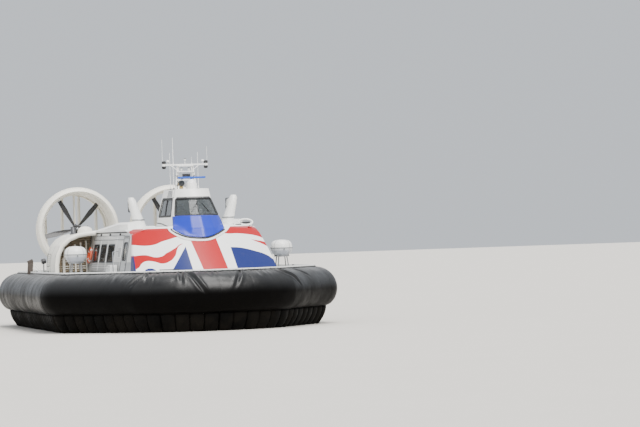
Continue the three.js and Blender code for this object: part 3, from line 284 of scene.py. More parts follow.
STREAK_FOOT = [(-3.2, 3.7), (2.05, 3.705), (2.35, 3.60), (2.60, 3.51), (2.85, 3.39), (3.2, 3.18)]
STARBOARD_RED_FOOT = [
    (-3.2, 3.66), (-2.81, 3.61), (-2.40, 3.56), (-2.07, 3.59), (-1.71, 3.72), (-1.39, 3.81), (-1.10, 3.89),
    (-0.9, 3.93), (3.2, 3.9),
]
LOWER_RED_TOP = [
    (-3.2, 3.1), (-2.84, 3.16), (-2.50, 3.18), (-2.06, 3.08), (-1.64, 3.26), (-1.30, 3.43), (-0.96, 3.61),
    (3.2, 3.6),
]
LOWER_RED_FOOT = [
    (-3.2, 2.5), (-2.84, 2.67), (-2.66, 2.86), (-2.47, 2.93), (-2.20, 2.89), (-1.94, 2.81), (-1.64, 2.90),
    (-1.39, 3.10), (-0.96, 3.59), (3.2, 3.6),
]
CREST_TOP = [
    (-3.2, 2.35), (-2.72, 2.45), (-2.62, 2.58), (-2.44, 2.63), (-2.28, 2.58), (-2.18, 2.45),
    (3.2, 2.35),
]


def nose_zone(s):
    """White border round the blue nose panel, where the flag's bands stop."""
    return s.over(s.z, s.curve(s.x, NOSE_BORDER, -1.6, 1.6, 3.4, 4.8))


def flag_paint():
    """Wavy red, white and blue bands of a national flag, laid out by width and height on the cowl."""
    s = Shader("flag_paint")

    def edge(points):
        return s.curve(s.x, points, -3.2, 3.2, 2.3, 4.5)

    def leaning(start, slope, height):
        """Width of a straight edge that is start at one height and leans by slope."""
        return s.line(s.add(s.z, -height), slope, start)

    centre_red = s.all_of(s.over(s.x, leaning(-0.45, -0.15, 2.73)), s.under(s.x, leaning(0.61, -0.107, 2.69)))
    triangle = s.all_of(s.over(s.x, leaning(-1.47, 0.80, 2.74)), s.under(s.x, leaning(-0.85, -0.026, 2.72)))
    port_blue = s.all_of(s.over(s.x, leaning(1.045, -0.03, 2.70)), s.under(s.z, edge(PORT_BLUE_TOP)))
    port_red = s.all_of(s.over(s.x, 0.70), s.over(s.z, edge(PORT_RED_FOOT)))
    streak = s.all_of(s.over(s.x, 2.08), s.under(s.z, edge(STREAK_TOP)), s.over(s.z, edge(STREAK_FOOT)))
    starboard_red = s.all_of(s.under(s.x, -0.90), s.over(s.z, edge(STARBOARD_RED_FOOT)))
    lower = s.under(s.z, edge(LOWER_RED_TOP)), s.over(s.z, edge(LOWER_RED_FOOT))
    lower_red = s.all_of(s.under(s.x, -0.96), *lower)
    crest = s.under(s.z, edge(CREST_TOP))
    corner = s.all_of(s.under(s.x, leaning(-2.935, 0.10, 2.9)), s.under(s.z, 3.30))
    shadow_line = s.all_of(s.over(s.x, -2.12), s.under(s.x, -1.36), s.over(s.z, 2.535), s.under(s.z, 2.575))
    colour = s.mix(s.any_of(centre_red, port_red, streak, starboard_red, lower_red), WHITE, RED)
    colour = s.mix(s.any_of(triangle, port_blue, crest, corner), colour, FLAG_BLUE)
    colour = s.mix(shadow_line, colour, (0.02, 0.02, 0.03))
    colour = s.mix(nose_zone(s), colour, WHITE)
    weathered(s, colour, 0.22, 0.36, 0.006)
    s.put(Specular_IOR_Level=0.28, Coat_Weight=0.08, Coat_Roughness=0.12)
    return s.material


def roof_paint():
    """White roof whose front edge carries the flag's red bands up from the cowl."""
    s = Shader("roof_paint")
    facing = s.math("MULTIPLY", s.normal(1), -1.0)
    edge = s.all_of(s.over(facing, 0.25, 0.1), s.under(s.y, -6.72), s.under(s.z, 4.262))
    sides = s.any_of(s.over(s.x, 0.72), s.under(s.x, -0.92))
    clear = s.math("SUBTRACT", 1.0, nose_zone(s))
    weathered(s, s.mix(s.all_of(edge, sides, clear), WHITE, RED), 0.22, 0.36)
    s.put(Coat_Weight=0.25, Coat_Roughness=0.18)
    return s.material


def panel_paint():
    """Wheelhouse foot: blue nose panel with a black edge line, which is painted shadow under the fairing's
    lip, and a white edge line; grey-white sides.
    """
    s = Shader("wheelhouse_foot_paint")
    lowest = s.curve(s.x, PANEL_FOOT, -1.5, 1.5, 3.6, 4.8)
    rear = s.line(s.add(s.z, -4.6), 1.35, -7.24)
    front = s.under(s.y, rear)
    field = s.all_of(front, s.over(s.z, lowest))
    # black line just outside the blue field: painted shadow under the fairing's lip
    line = s.all_of(s.under(s.y, s.add(rear, 0.03)), s.over(s.z, s.add(lowest, -0.035)))
    colour = s.mix(line, WHITE, (0.012, 0.012, 0.014))
    colour = s.mix(field, colour, PANEL_BLUE)
    weathered(s, colour, 0.22, 0.32, 0.004)
    s.put(Specular_IOR_Level=0.1, Coat_Weight=0.04, Coat_Roughness=0.1)
    return s.material


WEAVE_WAVES = 41.4013


def rubber(name, colour, dusty, rough, gloss, shine=None):
    """Coated fabric: cloth weave, scuffs, dried salt and sand low down; shine is the gloss near the top."""
    s = Shader(name)
    broad = s.noise(0.9, 5.0, 0.62)
    scuffs = s.remap(s.noise(3.2, 6.0, 0.7, stretch=(1.0, 1.0, 2.4), swirl=0.6), 0.52, 0.72)
    low = s.remap(s.z, 1.5, 0.1)
    dust = s.math("MINIMUM", s.add(s.times(scuffs, 0.45), s.times(low, s.remap(broad, 0.35, 0.65))), 1.0)
    s.put(Base_Color=s.mix(s.times(dust, dusty), colour, (0.20, 0.165, 0.125)))
    worn = s.blend(s.remap(broad, 0.3, 0.7), rough - 0.06, rough + 0.1)
    s.put(Roughness=s.add(worn, s.times(dust, 0.22)))
    s.put(Specular_IOR_Level=gloss if shine is None else s.blend(s.remap(s.z, 1.5, 2.2), gloss, shine))
    s.bump(s.wave(WEAVE_WAVES, "DIAGONAL"), 0.0006, 0.35)
    s.bump(s.noise(7.0, 4.0, 0.6), 0.006, 0.5)
    return s.material


def glass_material():
    """Lightly tinted wheelhouse glass."""
    s = Shader("tinted_glass")
    film = s.noise(1.4, 4.0, 0.6)
    s.put(Base_Color=s.mix(film, (0.20, 0.23, 0.24), (0.27, 0.30, 0.31)))
    s.put(Roughness=s.blend(film, 0.03, 0.09))
    s.put(Transmission_Weight=0.85, IOR=1.3, Coat_Weight=0.3, Coat_Roughness=0.02)
    return s.material


def cabin_paint():
    """Cabin sides: off-white above the windows, light grey below them."""
    s = Shader("cabin_side_paint")
    low = s.under(s.z, 2.90, 0.02)
    weathered(s, s.mix(low, (0.70, 0.70, 0.68), (0.38, 0.39, 0.40)), 0.32, 0.34, 0.004)
    s.put(Coat_Weight=0.35, Coat_Roughness=0.12)
    return s.material


def window_material():
    """Dark tinted cabin glass."""
    s = Shader("cabin_glass")
    film = s.noise(1.1, 4.0, 0.6)
    s.put(Base_Color=s.mix(film, (0.035, 0.042, 0.048), (0.06, 0.07, 0.078)))
    s.put(Roughness=s.blend(film, 0.04, 0.12))
    s.put(Transmission_Weight=0.55, IOR=1.45)
    return s.material


def canister_material():
    """White glass fibre above, greyer and duller on the lower half."""
    s = Shader("canister_shell")
    low = s.remap(s.z, 3.32, 3.12)
    weathered(s, s.mix(low, (0.86, 0.86, 0.84), (0.48, 0.50, 0.55)), 0.35, 0.3, 0.004)
    s.put(Coat_Weight=0.4, Coat_Roughness=0.15)
    return s.material


def metal(name, colour, rough=0.4):
    """Weathered bare metal."""
    return weathered(Shader(name), colour, 0.35, rough, 0.001).put(Metallic=0.85).material


def deck_material():
    """Raft: grey deck paint with a gritty walking surface and scuffed tracks, plain aluminium below."""
    s = Shader("deck_paint")
    grit = s.noise(160.0, 3.0, 0.7)
    top = s.remap(s.normal(2), 0.5, 0.9)
    wear = s.remap(s.noise(1.1, 6.0, 0.7), 0.48, 0.75)
    deck = s.mix(wear, (0.30, 0.31, 0.31), (0.42, 0.42, 0.40))
    plain = s.mix(wear, (0.42, 0.43, 0.43), (0.30, 0.29, 0.27))
    s.put(Base_Color=s.mix(top, plain, deck))
    s.put(Roughness=s.blend(top, 0.5, 0.82))
    s.put(Metallic=s.blend(top, 0.55, 0.0))
    s.bump(s.times(grit, top), 0.0022, 0.7)
    return s.material


def cloth(name, colour):
    """Woven cloth with a soft sheen."""
    s = Shader(name)
    patch = s.noise(5.0, 4.0, 0.6)
    s.put(Base_Color=s.mix(patch, colour, tuple(c * 0.72 for c in colour)))
    s.put(Roughness=0.85, Sheen_Weight=0.35, Sheen_Roughness=0.5)
    s.bump(s.times(s.wave(190.0, "X"), s.wave(190.0, "Z")), 0.0009, 0.6)
    return s.material


def moulded(name, colour, rough, grime=0.3):
    """Moulded plastic or rubber, mottled and finely grained."""
    s = Shader(name)
    mottle = s.noise(9.0, 4.0, 0.6)
    stain = s.times(s.remap(mottle, 0.45, 0.8), grime)
    s.put(Base_Color=s.mix(stain, colour, tuple(c * 0.45 + 0.02 for c in colour)))
    s.put(Roughness=s.blend(mottle, rough - 0.08, rough + 0.12))
    s.bump(s.noise(140.0, 2.0), 0.0005, 0.5)
    return s.material


def lamp(name, colour):
    """Ribbed lens of an unlit lamp."""
    s = Shader(name)
    prism = s.wave(40.0, "Z")
    s.put(Base_Color=s.mix(prism, colour, tuple(c * 0.7 for c in colour)))
    s.put(Roughness=s.blend(prism, 0.08, 0.2))
    s.put(Transmission_Weight=0.25)
    return s.material


MATERIALS = {
    "white": paint("white_paint", WHITE, 0.22, 0.36),
    "cream": paint("cream_paint", CREAM, 0.34, 0.42),
    "grey": paint("grey_paint", GREY, 0.4, 0.42),
    "flag": flag_paint(),
    "panel": panel_paint(),
    "roof": roof_paint(),
    "cabin": cabin_paint(),
    "blue": paint("radar_blue_paint", (0.003, 0.075, 0.45), 0.1, 0.35),
    "hull": deck_material(),
    "bag": rubber("bag_fabric", (0.0019, 0.0017, 0.0016), 0.010, 0.35, 0.025, 0.62),
    "finger": rubber("finger_fabric", (0.0015, 0.0014, 0.0013), 0.035, 0.62, 0.05),
    "glass": glass_material(),
    "metal": metal("bare_metal", (0.30, 0.31, 0.32)),
    "steel": metal("dark_steel", (0.12, 0.12, 0.125), 0.45),
    "dark": paint("black_paint", (0.022, 0.022, 0.025), 0.3, 0.45),
    "rubber_trim": moulded("rubber_trim", (0.010, 0.010, 0.011), 0.55),
    "seat": cloth("seat_cloth", (0.03, 0.07, 0.24)),
    "carpet": cloth("carpet", (0.07, 0.075, 0.085)),
    "orange": moulded("orange_plastic", (0.80, 0.10, 0.025), 0.5),
    "brass": metal("brass", (0.55, 0.40, 0.16), 0.35),
    "rope": cloth("rope", (0.55, 0.52, 0.44)),
    "clear_lamp": lamp("clear_lamp", (0.85, 0.87, 0.86)),
    "plastic": moulded("grey_plastic", (0.22, 0.23, 0.24), 0.45),
    "white_plastic": moulded("white_plastic", (0.82, 0.82, 0.80), 0.35, 0.15),
    "post": moulded("post_covering", (0.055, 0.042, 0.034), 0.6),
    "fairing": paint("fairing_paint", PANEL_BLUE, 0.2, 0.28, 0.12),
    # brown painted shade, used inside the intakes and in the duct bores
    "shade": paint("intake_painted_shade", (0.36, 0.29, 0.20), 0.35, 0.5),
    "window": window_material(),
    "canister": canister_material(),
    "webbing": cloth("webbing", (0.52, 0.52, 0.52)),
    "pad": moulded("non_slip_pad", (0.10, 0.10, 0.105), 0.85),
}


# Mesh building

CORNER_STEPS = 5
# Cross-section of a raised strip: share of its width, share of its height
BAND_SECTION = ((-0.5, -0.2), (-0.5, 0.5), (-0.36, 1.0), (0.36, 1.0), (0.5, 0.5), (0.5, -0.2))


def offset_outline(corners, distance):
    """A convex outline moved outwards by a distance."""
    count = len(corners)
    middle = sum((Vector(c) for c in corners), Vector((0, 0))) / count
    moved = []
    for i in range(count):
        lines = []
        for a, b in ((corners[i - 1], corners[i]), (corners[i], corners[(i + 1) % count])):
            a, b = Vector(a), Vector(b)
            along = (b - a).normalized()
            out = Vector((along.y, -along.x))
            if out.dot(a - middle) < 0:
                out = -out
            lines.append((a + out * distance, along))
        (p, u), (q, v) = lines
        cross = u.x * v.y - u.y * v.x
        t = ((q - p).x * v.y - (q - p).y * v.x) / cross
        moved.append(p + u * t)
    return moved


def rounded_outline(corners, radius, spacing=0.16):
    """A closed line round an outline with its corners rounded and its sides divided."""
    count = len(corners)
    line = []
    for i in range(count):
        corner = Vector(corners[i])
        before = (Vector(corners[i - 1]) - corner).normalized() * radius
        after = (Vector(corners[(i + 1) % count]) - corner).normalized() * radius
        for k in range(CORNER_STEPS + 1):
            t = k / CORNER_STEPS
            line.append(corner + before * (1 - t) ** 2 + after * t**2)
        following = Vector(corners[(i + 1) % count])
        start, end = corner + after, following - (following - corner).normalized() * radius
        pieces = int((end - start).length / spacing)
        line += [start.lerp(end, k / (pieces + 1)) for k in range(1, pieces + 1)]
    return line


def between(first, last, spacing=0.12):
    """Points on a straight line, with both ends."""
    first, last = Vector(first), Vector(last)
    pieces = max(1, math.ceil((last - first).length / spacing))
    return [first.lerp(last, k / pieces) for k in range(pieces + 1)]


def turns(count):
    """Angles evenly round a circle."""
    return [2 * math.pi * k / count for k in range(count)]


def tilt(degrees, axis):
    """Turning matrix about one axis."""
    return Matrix.Rotation(math.radians(degrees), 3, axis)


class Piece:
    """Gathers simple solids and sheets into one mesh object that rides on a body."""

    def __init__(self, name):
        self.name = name
        self.points = []
        self.faces = []
        self.paints = []
        self.names = []

    def take(self, points, faces, paint_name):
        """Adds faces over points, in one paint."""
        if paint_name not in self.names:
            self.names.append(paint_name)
        start = len(self.points)
        self.points.extend(tuple(float(c) for c in p) for p in points)
        for face in faces:
            self.faces.append([start + i for i in face])
            self.paints.append(self.names.index(paint_name))
        return self

    def grid(self, rows, paint_name, around=False, ends=False, along=False):
        """A sheet through rows of points; around closes each row, along closes the run, ends caps it."""
        rows = [list(map(tuple, row)) for row in rows]
        width = len(rows[0])
        points = [p for row in rows for p in row]
        faces = []
        for r in range(len(rows) if along else len(rows) - 1):
            for c in range(width if around else width - 1):
                a, b = r * width + c, r * width + (c + 1) % width
                step = ((r + 1) % len(rows)) * width
                faces.append([a, b, step + (c + 1) % width, step + c])
        if ends:
            faces.append(list(range(width))[::-1])
            faces.append([(len(rows) - 1) * width + i for i in range(width)])
        return self.take(points, faces, paint_name)

    def tube(self, path, radius, paint_name, sides=10, closed=False):
        """A round bar along a path; radius is one number or one for each point."""
        path = [Vector(p) for p in path]
        count = len(path)
        radii = radius if hasattr(radius, "__len__") else [radius] * count
        rows = []
        side = None
        for i, point in enumerate(path):
            after = path[(i + 1) % count] if closed or i < count - 1 else point
            before = path[i - 1] if closed or i > 0 else point
            ahead = (after - before).normalized()
            if side is None:
                side = ahead.orthogonal().normalized()
            side = (side - ahead * side.dot(ahead)).normalized()
            across = ahead.cross(side)
            ring = [side * math.cos(t) + across * math.sin(t) for t in turns(sides)]
            rows.append([point + away * radii[i] for away in ring])
        return self.grid(rows, paint_name, around=True, ends=not closed, along=closed)

    def shape(self, body, place, paint_name):
        """Takes a bmesh body over, with each corner put where place says, and frees it."""
        points = [place(v.co) for v in body.verts]
        body.verts.index_update()
        faces = [[v.index for v in f.verts] for f in body.faces]
        body.free()
        return self.take(points, faces, paint_name)

    def box(self, low, high, paint_name, bevel=0.0, turn=None):
        """A box between two corners, with rounded edges and a turning matrix about its middle."""
        low, high = Vector(low), Vector(high)
        middle, half = (low + high) / 2, (high - low) / 2
        body = bmesh.new()
        bmesh.ops.create_cube(body, size=2.0)
        bmesh.ops.scale(body, vec=half, verts=body.verts)
        if bevel:
            bmesh.ops.bevel(body, geom=body.edges[:], offset=bevel, segments=2, profile=0.6, affect="EDGES")
        spin = turn or Matrix.Identity(3)
        return self.shape(body, lambda corner: middle + spin @ corner, paint_name)

    def slab(self, middle, half, heights, paint_name, bevel=0.0, turn=None):
        """A box about an (x, y) place, with half its width and length and its two heights."""
        (x, y), (half_x, half_y), (low, high) = middle, half, heights
        first, last = (x - half_x, y - half_y, low), (x + half_x, y + half_y, high)
        return self.box(first, last, paint_name, bevel, turn)

    def turned(self, profile, paint_name, place=(0, 0, 0), axis=(0, 0, 1), sides=24):
        """A body turned from (radius, height) pairs about an axis through place."""
        spin = Vector((0, 0, 1)).rotation_difference(Vector(axis)).to_matrix()
        place = Vector(place)
        rows = []
        for radius, height in profile:
            ring = [Vector((radius * math.cos(t), radius * math.sin(t), height)) for t in turns(sides)]
            rows.append([place + spin @ spot for spot in ring])
        closed_low, closed_high = profile[0][0] < 1e-6, profile[-1][0] < 1e-6
        return self.grid(rows, paint_name, around=True, ends=not (closed_low and closed_high))

    def band(self, trace, width, height, paint_name, closed=False):
        """A raised strip with rounded edges along (place, outward) pairs on a surface."""
        rows = []
        count = len(trace)
        for i, (place, outward) in enumerate(trace):
            after = trace[(i + 1) % count][0] if closed or i < count - 1 else place
            before = trace[i - 1][0] if closed or i > 0 else place
            across = outward.cross(after - before).normalized()
            rows.append([place + across * (width * u) + outward * (height * v) for u, v in BAND_SECTION])
        return self.grid(rows, paint_name, around=True, ends=not closed, along=closed)

    def plate(self, loop, outward, thick, paint_name):
        """A flat plate with a given outline; its outer face lies on the loop."""
        count = len(loop)
        points = [Vector(p) for p in loop] + [Vector(p) - Vector(outward) * thick for p in loop]
        faces = [list(range(count)), list(range(2 * count - 1, count - 1, -1))]
        faces += [[i, (i + 1) % count, count + (i + 1) % count, count + i] for i in range(count)]
        return self.take(points, faces, paint_name)

    def cushion(self, middle, half, paint_name, turn=None, channels=0):
        """A crowned pad whose sides pull in between its corners, with sewn channels across it."""
        body = bmesh.new()
        bmesh.ops.create_cube(body, size=2.0)
        bmesh.ops.subdivide_edges(body, edges=body.edges[:], cuts=4, use_grid_fill=True)
        spin = turn or Matrix.Identity(3)

        def crowned(place):
            x, y, z = place
            crown = 0.70 + 0.30 * math.sqrt(max(0.0, (1 - x**4) * (1 - y**4)))
            for k in range(channels):
                line = -1 + 2 * (k + 1) / (channels + 1)
                crown -= 0.16 * math.exp(-(((y - line) / 0.12) ** 2)) * (1 if abs(x) < 0.98 else 0)
            shaped = Vector((x * (1 - 0.045 * (1 - y * y)), y * (1 - 0.05 * (1 - x * x)), z * crown))
            corner = 1 - 0.06 * (abs(x * y) ** 3)
            shaped.x *= corner
            shaped.y *= corner
            return Vector(middle) + spin @ Vector([a * b for a, b in zip(shaped, half)])

        return self.shape(body, crowned, paint_name)

    def finish(self, body="craft", sharp=38.0, thick=0.0, levels=0):
        """The mesh object, smooth up to an angle, riding on its body."""
        mesh = bpy.data.meshes.new(self.name)
        mesh.from_pydata(self.points, [], self.faces)
        mesh.validate()
        for name in self.names:
            mesh.materials.append(MATERIALS[name])
        piece = bpy.data.objects.new(self.name, mesh)
        bpy.context.collection.objects.link(piece)
        mesh.polygons.foreach_set("material_index", self.paints)
        work = bmesh.new()
        work.from_mesh(mesh)
        bmesh.ops.remove_doubles(work, verts=work.verts, dist=1e-5)
        bmesh.ops.recalc_face_normals(work, faces=work.faces)
        work.to_mesh(mesh)
        work.free()
        mesh.polygons.foreach_set("use_smooth", [True] * len(mesh.polygons))
        mesh.set_sharp_from_angle(angle=math.radians(sharp))
        if thick:
            skin = piece.modifiers.new("skin", "SOLIDIFY")
            skin.thickness = thick
            skin.offset = -1.0
        if levels:
            smooth = piece.modifiers.new("smooth", "SUBSURF")
            smooth.levels = smooth.render_levels = levels
        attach(piece, body)
        return piece


# Distance outside the craft that a ray starts from
FAR = 30.0


class Drape:
    """Finds points on the outer faces of CAD nodes, so that trim sits on them."""

    def __init__(self, *names):
        points, faces = [], []
        for name in names:
            mesh = NODES[name].data
            start = len(points)
            points += [v.co.copy() for v in mesh.vertices]
            faces += [[start + i for i in p.vertices] for p in mesh.polygons]
        self.tree = BVHTree.FromPolygons(points, faces)

    def trace(self, side, line, lift=0.0):
        """(place, outward) pairs along a line seen from the bow, from above or from one side."""
        pairs = []
        for u, v in line:
            if side == "bow":
                origin, direction = (u, -FAR, v), Vector((0, 1, 0))
            elif side == "stern":
                origin, direction = (u, FAR, v), Vector((0, -1, 0))
            elif side == "above":
                origin, direction = (u, v, FAR), Vector((0, 0, -1))
            else:
                origin, direction = (side * FAR, u, v), Vector((-side, 0, 0))
            place, normal, _, _ = self.tree.ray_cast(Vector(origin), direction)
            if place is None:
                continue
            if normal.dot(direction) > 0:
                normal = -normal
            pairs.append((place + normal * lift, normal))
        return pairs


def smooth_group():
    """Geometry nodes that shade a mesh smooth except across sharp edges."""
    group = bpy.data.node_groups.new("smooth_by_angle", "GeometryNodeTree")
    group.interface.new_socket("Geometry", in_out="INPUT", socket_type="NodeSocketGeometry")
    group.interface.new_socket("Geometry", in_out="OUTPUT", socket_type="NodeSocketGeometry")
    nodes, links = group.nodes, group.links
    inlet = nodes.new("NodeGroupInput")
    outlet = nodes.new("NodeGroupOutput")
    faces = nodes.new("GeometryNodeSetShadeSmooth")
    faces.domain = "FACE"
    edges = nodes.new("GeometryNodeSetShadeSmooth")
    edges.domain = "EDGE"
    edges.inputs["Shade Smooth"].default_value = False
    angle = nodes.new("GeometryNodeInputMeshEdgeAngle")
    compare = nodes.new("FunctionNodeCompare")
    compare.data_type = "FLOAT"
    compare.operation = "GREATER_THAN"
    compare.inputs[1].default_value = math.radians(33)
    links.new(angle.outputs[0], compare.inputs[0])
    links.new(compare.outputs[0], edges.inputs["Selection"])
    links.new(inlet.outputs[0], faces.inputs["Geometry"])
    links.new(faces.outputs[0], edges.inputs["Geometry"])
    links.new(edges.outputs[0], outlet.inputs[0])
    return group


SMOOTH = smooth_group()
# Edge radius of plate work, by the start of a node's name
BEVELLED = {
    "hull": 0.015,
    "deck_rim": 0.012,
    "cabin_wall": 0.008,
    "cabin_door": 0.006,
    "machinery_cover": 0.012,
    "wheelhouse_upper_wall": 0.008,
    "wheelhouse_lower_wall": 0.008,
    "landing_skid": 0.012,
    "rudder": 0.004,
    "engine": 0.03,
    "hub_support": 0.008,
}
# Nodes whose paint isn't the one of their slot
SPECIAL_PAINT = {
    "wheelhouse_lower_wall": "panel",
    "cabin_roof": "roof",
    "cabin_wall_starboard": "cabin",
    "cabin_wall_port": "cabin",
    # the intake grilles take the brown painted shade
    "intake_grille_starboard": "shade",
    "intake_grille_port": "shade",
}


def dress_nodes():
    """Gives every CAD node its material, welded smooth shading and, on plate work, rounded edges."""
    slots = {item["node"]: item["material_slot"] for item in frame["record"]["subparts"]}
    for name, node in NODES.items():
        mesh = node.data
        mesh.materials.clear()
        mesh.materials.append(MATERIALS[SPECIAL_PAINT.get(name, slots[name])])
        if "custom_normal" in mesh.attributes:
            mesh.attributes.remove(mesh.attributes["custom_normal"])
        weld = node.modifiers.new("weld", "WELD")
        weld.merge_threshold = 0.0002
        for start, width in BEVELLED.items():
            if name.startswith(start):
                rounded = node.modifiers.new("bevel", "BEVEL")
                rounded.width = width
                rounded.segments = 2
                rounded.limit_method = "ANGLE"
                rounded.angle_limit = math.radians(40)
        shade = node.modifiers.new("shade", "NODES")
        shade.node_group = SMOOTH
        normals = node.modifiers.new("normals", "WEIGHTED_NORMAL")
        normals.keep_sharp = True


# Inflated skirt

HALF_BEAM_BOW = 5.5
HALF_BEAM_STERN = 4.85
BOW_Y = -10.95 + SHIFT
BOW_RADIUS = 4.244
SHOULDER_X = 2.76
SHOULDER_Y = -9.93 + SHIFT
BOW_CORNER_Y = -6.13 + SHIFT
BOW_CORNER_RADIUS = 0.8
STERN_Y = 10.3 + SHIFT
STERN_CORNER_RADIUS = 2.6
BAG_PROFILE = [
    # distance out from the raft's edge, height
    (0.01, 2.435),
    (0.26, 2.405),
    (0.56, 2.27),
    (0.80, 2.03),
    (0.93, 1.72),
    (0.945, 1.40),
    (0.84, 1.08),
    (0.64, 0.85),
    (0.40, 0.755),
    (0.06, 0.765),
    (-0.38, 0.905),
    (-0.70, 1.165),
    (-0.80, 1.44),
]


def corner_arc(corner, before, after, radius, steps):
    """Points on the arc that rounds a corner of an outline."""
    corner, before, after = Vector(corner), Vector(before), Vector(after)
    into = (before - corner).normalized()
    away = (after - corner).normalized()
    half = math.acos(into.dot(away)) / 2
    tangent = radius / math.tan(half)
    centre = corner + (into + away).normalized() * (radius / math.sin(half))
    first, last = corner + into * tangent - centre, corner + away * tangent - centre
    start, end = math.atan2(first.y, first.x), math.atan2(last.y, last.x)
    return [
        centre + Vector((math.cos(a), math.sin(a))) * radius
        for a in (start + (end - start) * k / steps for k in range(steps + 1))
    ]


def half_outline():
    """Port half of the raft's edge from the bow centre to the stern centre, finely divided."""
    sweep = math.asin(SHOULDER_X / BOW_RADIUS)
    points = [
        Vector((BOW_RADIUS * math.sin(a), BOW_Y + BOW_RADIUS * (1 - math.cos(a))))
        for a in (sweep * k / 24 for k in range(25))
    ]
    bow_corner = (HALF_BEAM_BOW, BOW_CORNER_Y)
    stern_corner = (HALF_BEAM_STERN, STERN_Y)
    points += corner_arc(bow_corner, (SHOULDER_X, SHOULDER_Y), stern_corner, BOW_CORNER_RADIUS, 16)
    points += corner_arc(stern_corner, bow_corner, (0, STERN_Y), STERN_CORNER_RADIUS, 20)
    points.append(Vector((0, STERN_Y)))
    return points


EDGE_BLUR = 0.18


class Edge:
    """Places along the raft's edge by distance from the bow centre, to port positive."""

    def __init__(self):
        self.points = half_outline()
        self.marks = [0.0]
        for a, b in zip(self.points, self.points[1:]):
            self.marks.append(self.marks[-1] + (b - a).length)
        self.length = self.marks[-1]

    def spot(self, distance):
        """(x, y) at a distance; past the stern centre it runs on round."""
        whole = 2 * self.length
        distance = (distance + self.length) % whole - self.length
        sign = -1.0 if distance < 0 else 1.0
        d = min(abs(distance), self.length)
        i = int(np.searchsorted(self.marks, d, side="right")) - 1
        i = min(max(i, 0), len(self.points) - 2)
        span = self.marks[i + 1] - self.marks[i]
        share = (d - self.marks[i]) / span if span > 1e-9 else 0.0
        place = self.points[i].lerp(self.points[i + 1], share)
        return Vector((place.x * sign, place.y))

    def station(self, distance):
        """The place at a distance and the outward direction, evened out along the edge."""
        along = self.spot(distance + EDGE_BLUR) - self.spot(distance - EDGE_BLUR)
        along.normalize()
        return self.spot(distance), Vector((along.y, -along.x))


EDGE = Edge()


def spline(points, count):
    """Points on a smooth curve through the given ones, spaced evenly."""
    given = np.array(points, float)
    padded = np.vstack([2 * given[0] - given[1], given, 2 * given[-1] - given[-2]])
    fine = []
    for i in range(len(given) - 1):
        p0, p1, p2, p3 = padded[i : i + 4]
        square, cube = 2 * p0 - 5 * p1 + 4 * p2 - p3, 3 * p1 - p0 - 3 * p2 + p3
        for t in np.linspace(0, 1, 16, endpoint=False):
            fine.append(0.5 * (2 * p1 + (p2 - p0) * t + square * t**2 + cube * t**3))
    fine.append(given[-1])
    fine = np.array(fine)
    lengths = np.concatenate([[0], np.cumsum(np.linalg.norm(np.diff(fine, axis=0), axis=1))])
    even = np.linspace(0, lengths[-1], count)
    return np.column_stack([np.interp(even, lengths, fine[:, k]) for k in range(fine.shape[1])])


def ripple(a, b, seed):
    """Smooth repeatable unevenness between about -1 and 1."""
    return (
        math.sin(a * 1.7 + seed * 2.1 + 1.3 * math.sin(b * 1.9 + seed))
        + 0.6 * math.sin(a * 3.9 - b * 2.3 + seed * 5.7)
        + 0.4 * math.sin(a * 8.3 + b * 4.7 + seed * 3.3)
    ) / 2.0


SEAM_PITCH = 1.18
BAG_ROWS = 64
BAG_LINE = spline(BAG_PROFILE, BAG_ROWS)
BAG_SLOPES = np.gradient(BAG_LINE, axis=0)
BAG_SLOPES /= np.linalg.norm(BAG_SLOPES, axis=1)[:, None]
BAG_STEP = {"bow": 0.038, "port": 0.075, "starboard": 0.075, "stern": 0.065}
# Share of the section at each end that keeps its shape, where the bag is clamped
HELD_SHARE = 0.03
# Folds in the bow: distances along the edge and shares of the section between which each runs, depth, width
FOLD_SPREAD = 1.45
BOW_FOLDS = [
    # start, end, from, to, depth, width
    (-2.88, -3.18, 0.09, 0.30, 0.075, 0.050),
    (-2.66, -2.64, 0.07, 0.24, 0.034, 0.040),
    (-2.56, -2.52, 0.07, 0.22, 0.026, 0.035),
    (-1.41, -1.33, 0.06, 0.25, 0.070, 0.045),
    (-1.12, -0.48, 0.07, 0.385, 0.090, 0.052),
    (-0.30, -0.26, 0.06, 0.16, 0.020, 0.050),
    (0.92, 0.46, 0.06, 0.31, 0.080, 0.050),
    (1.72, 1.64, 0.07, 0.18, 0.028, 0.060),
    (2.68, 3.55, 0.07, 0.31, 0.080, 0.055),
    (4.30, 5.05, 0.08, 0.24, 0.034, 0.080),
    (-4.40, -4.15, 0.08, 0.24, 0.024, 0.090),
]


def bag_push(distance, share, seed):
    """How far the bag's face stands out from its smooth shape at a place."""
    gore = abs(math.sin(math.pi * distance / SEAM_PITCH))
    lively = min(1.0, max(0.22, 1.0 - (abs(distance) - 4.4) / 1.6))
    puff = 0.006 * (gore**0.5 - 0.6)
    gather = math.exp(-share / 0.075)
    creases = math.sin(distance * 21 + 2 * math.sin(distance * 3.1)) + 0.7 * math.sin(distance * 36 + seed)
    pleats = 0.013 * gather * creases
    broad = 0.014 * ripple(distance * 0.9, share * 6, seed)
    small = 0.0035 * ripple(distance * 3.2, share * 14, seed + 2)
    push = lively * (puff + pleats + broad + small)
    for start, end, low, high, depth, width in BOW_FOLDS:
        if share < low - 0.1 or share > high + 0.1:
            continue
        t = (share - low) / (high - low)
        line = start + (end - start) * t
        fade = math.exp(-max(0.0, -t) ** 2 * 40) * math.exp(-max(0.0, t - 0.55) ** 2 * 14)
        off = (distance - line) / (width * FOLD_SPREAD)
        dent = math.exp(-off * off) - 0.75 * math.exp(-(off - 1.7) ** 2) - 0.35 * math.exp(-(off + 1.8) ** 2)
        push -= depth * fade * dent
    return push


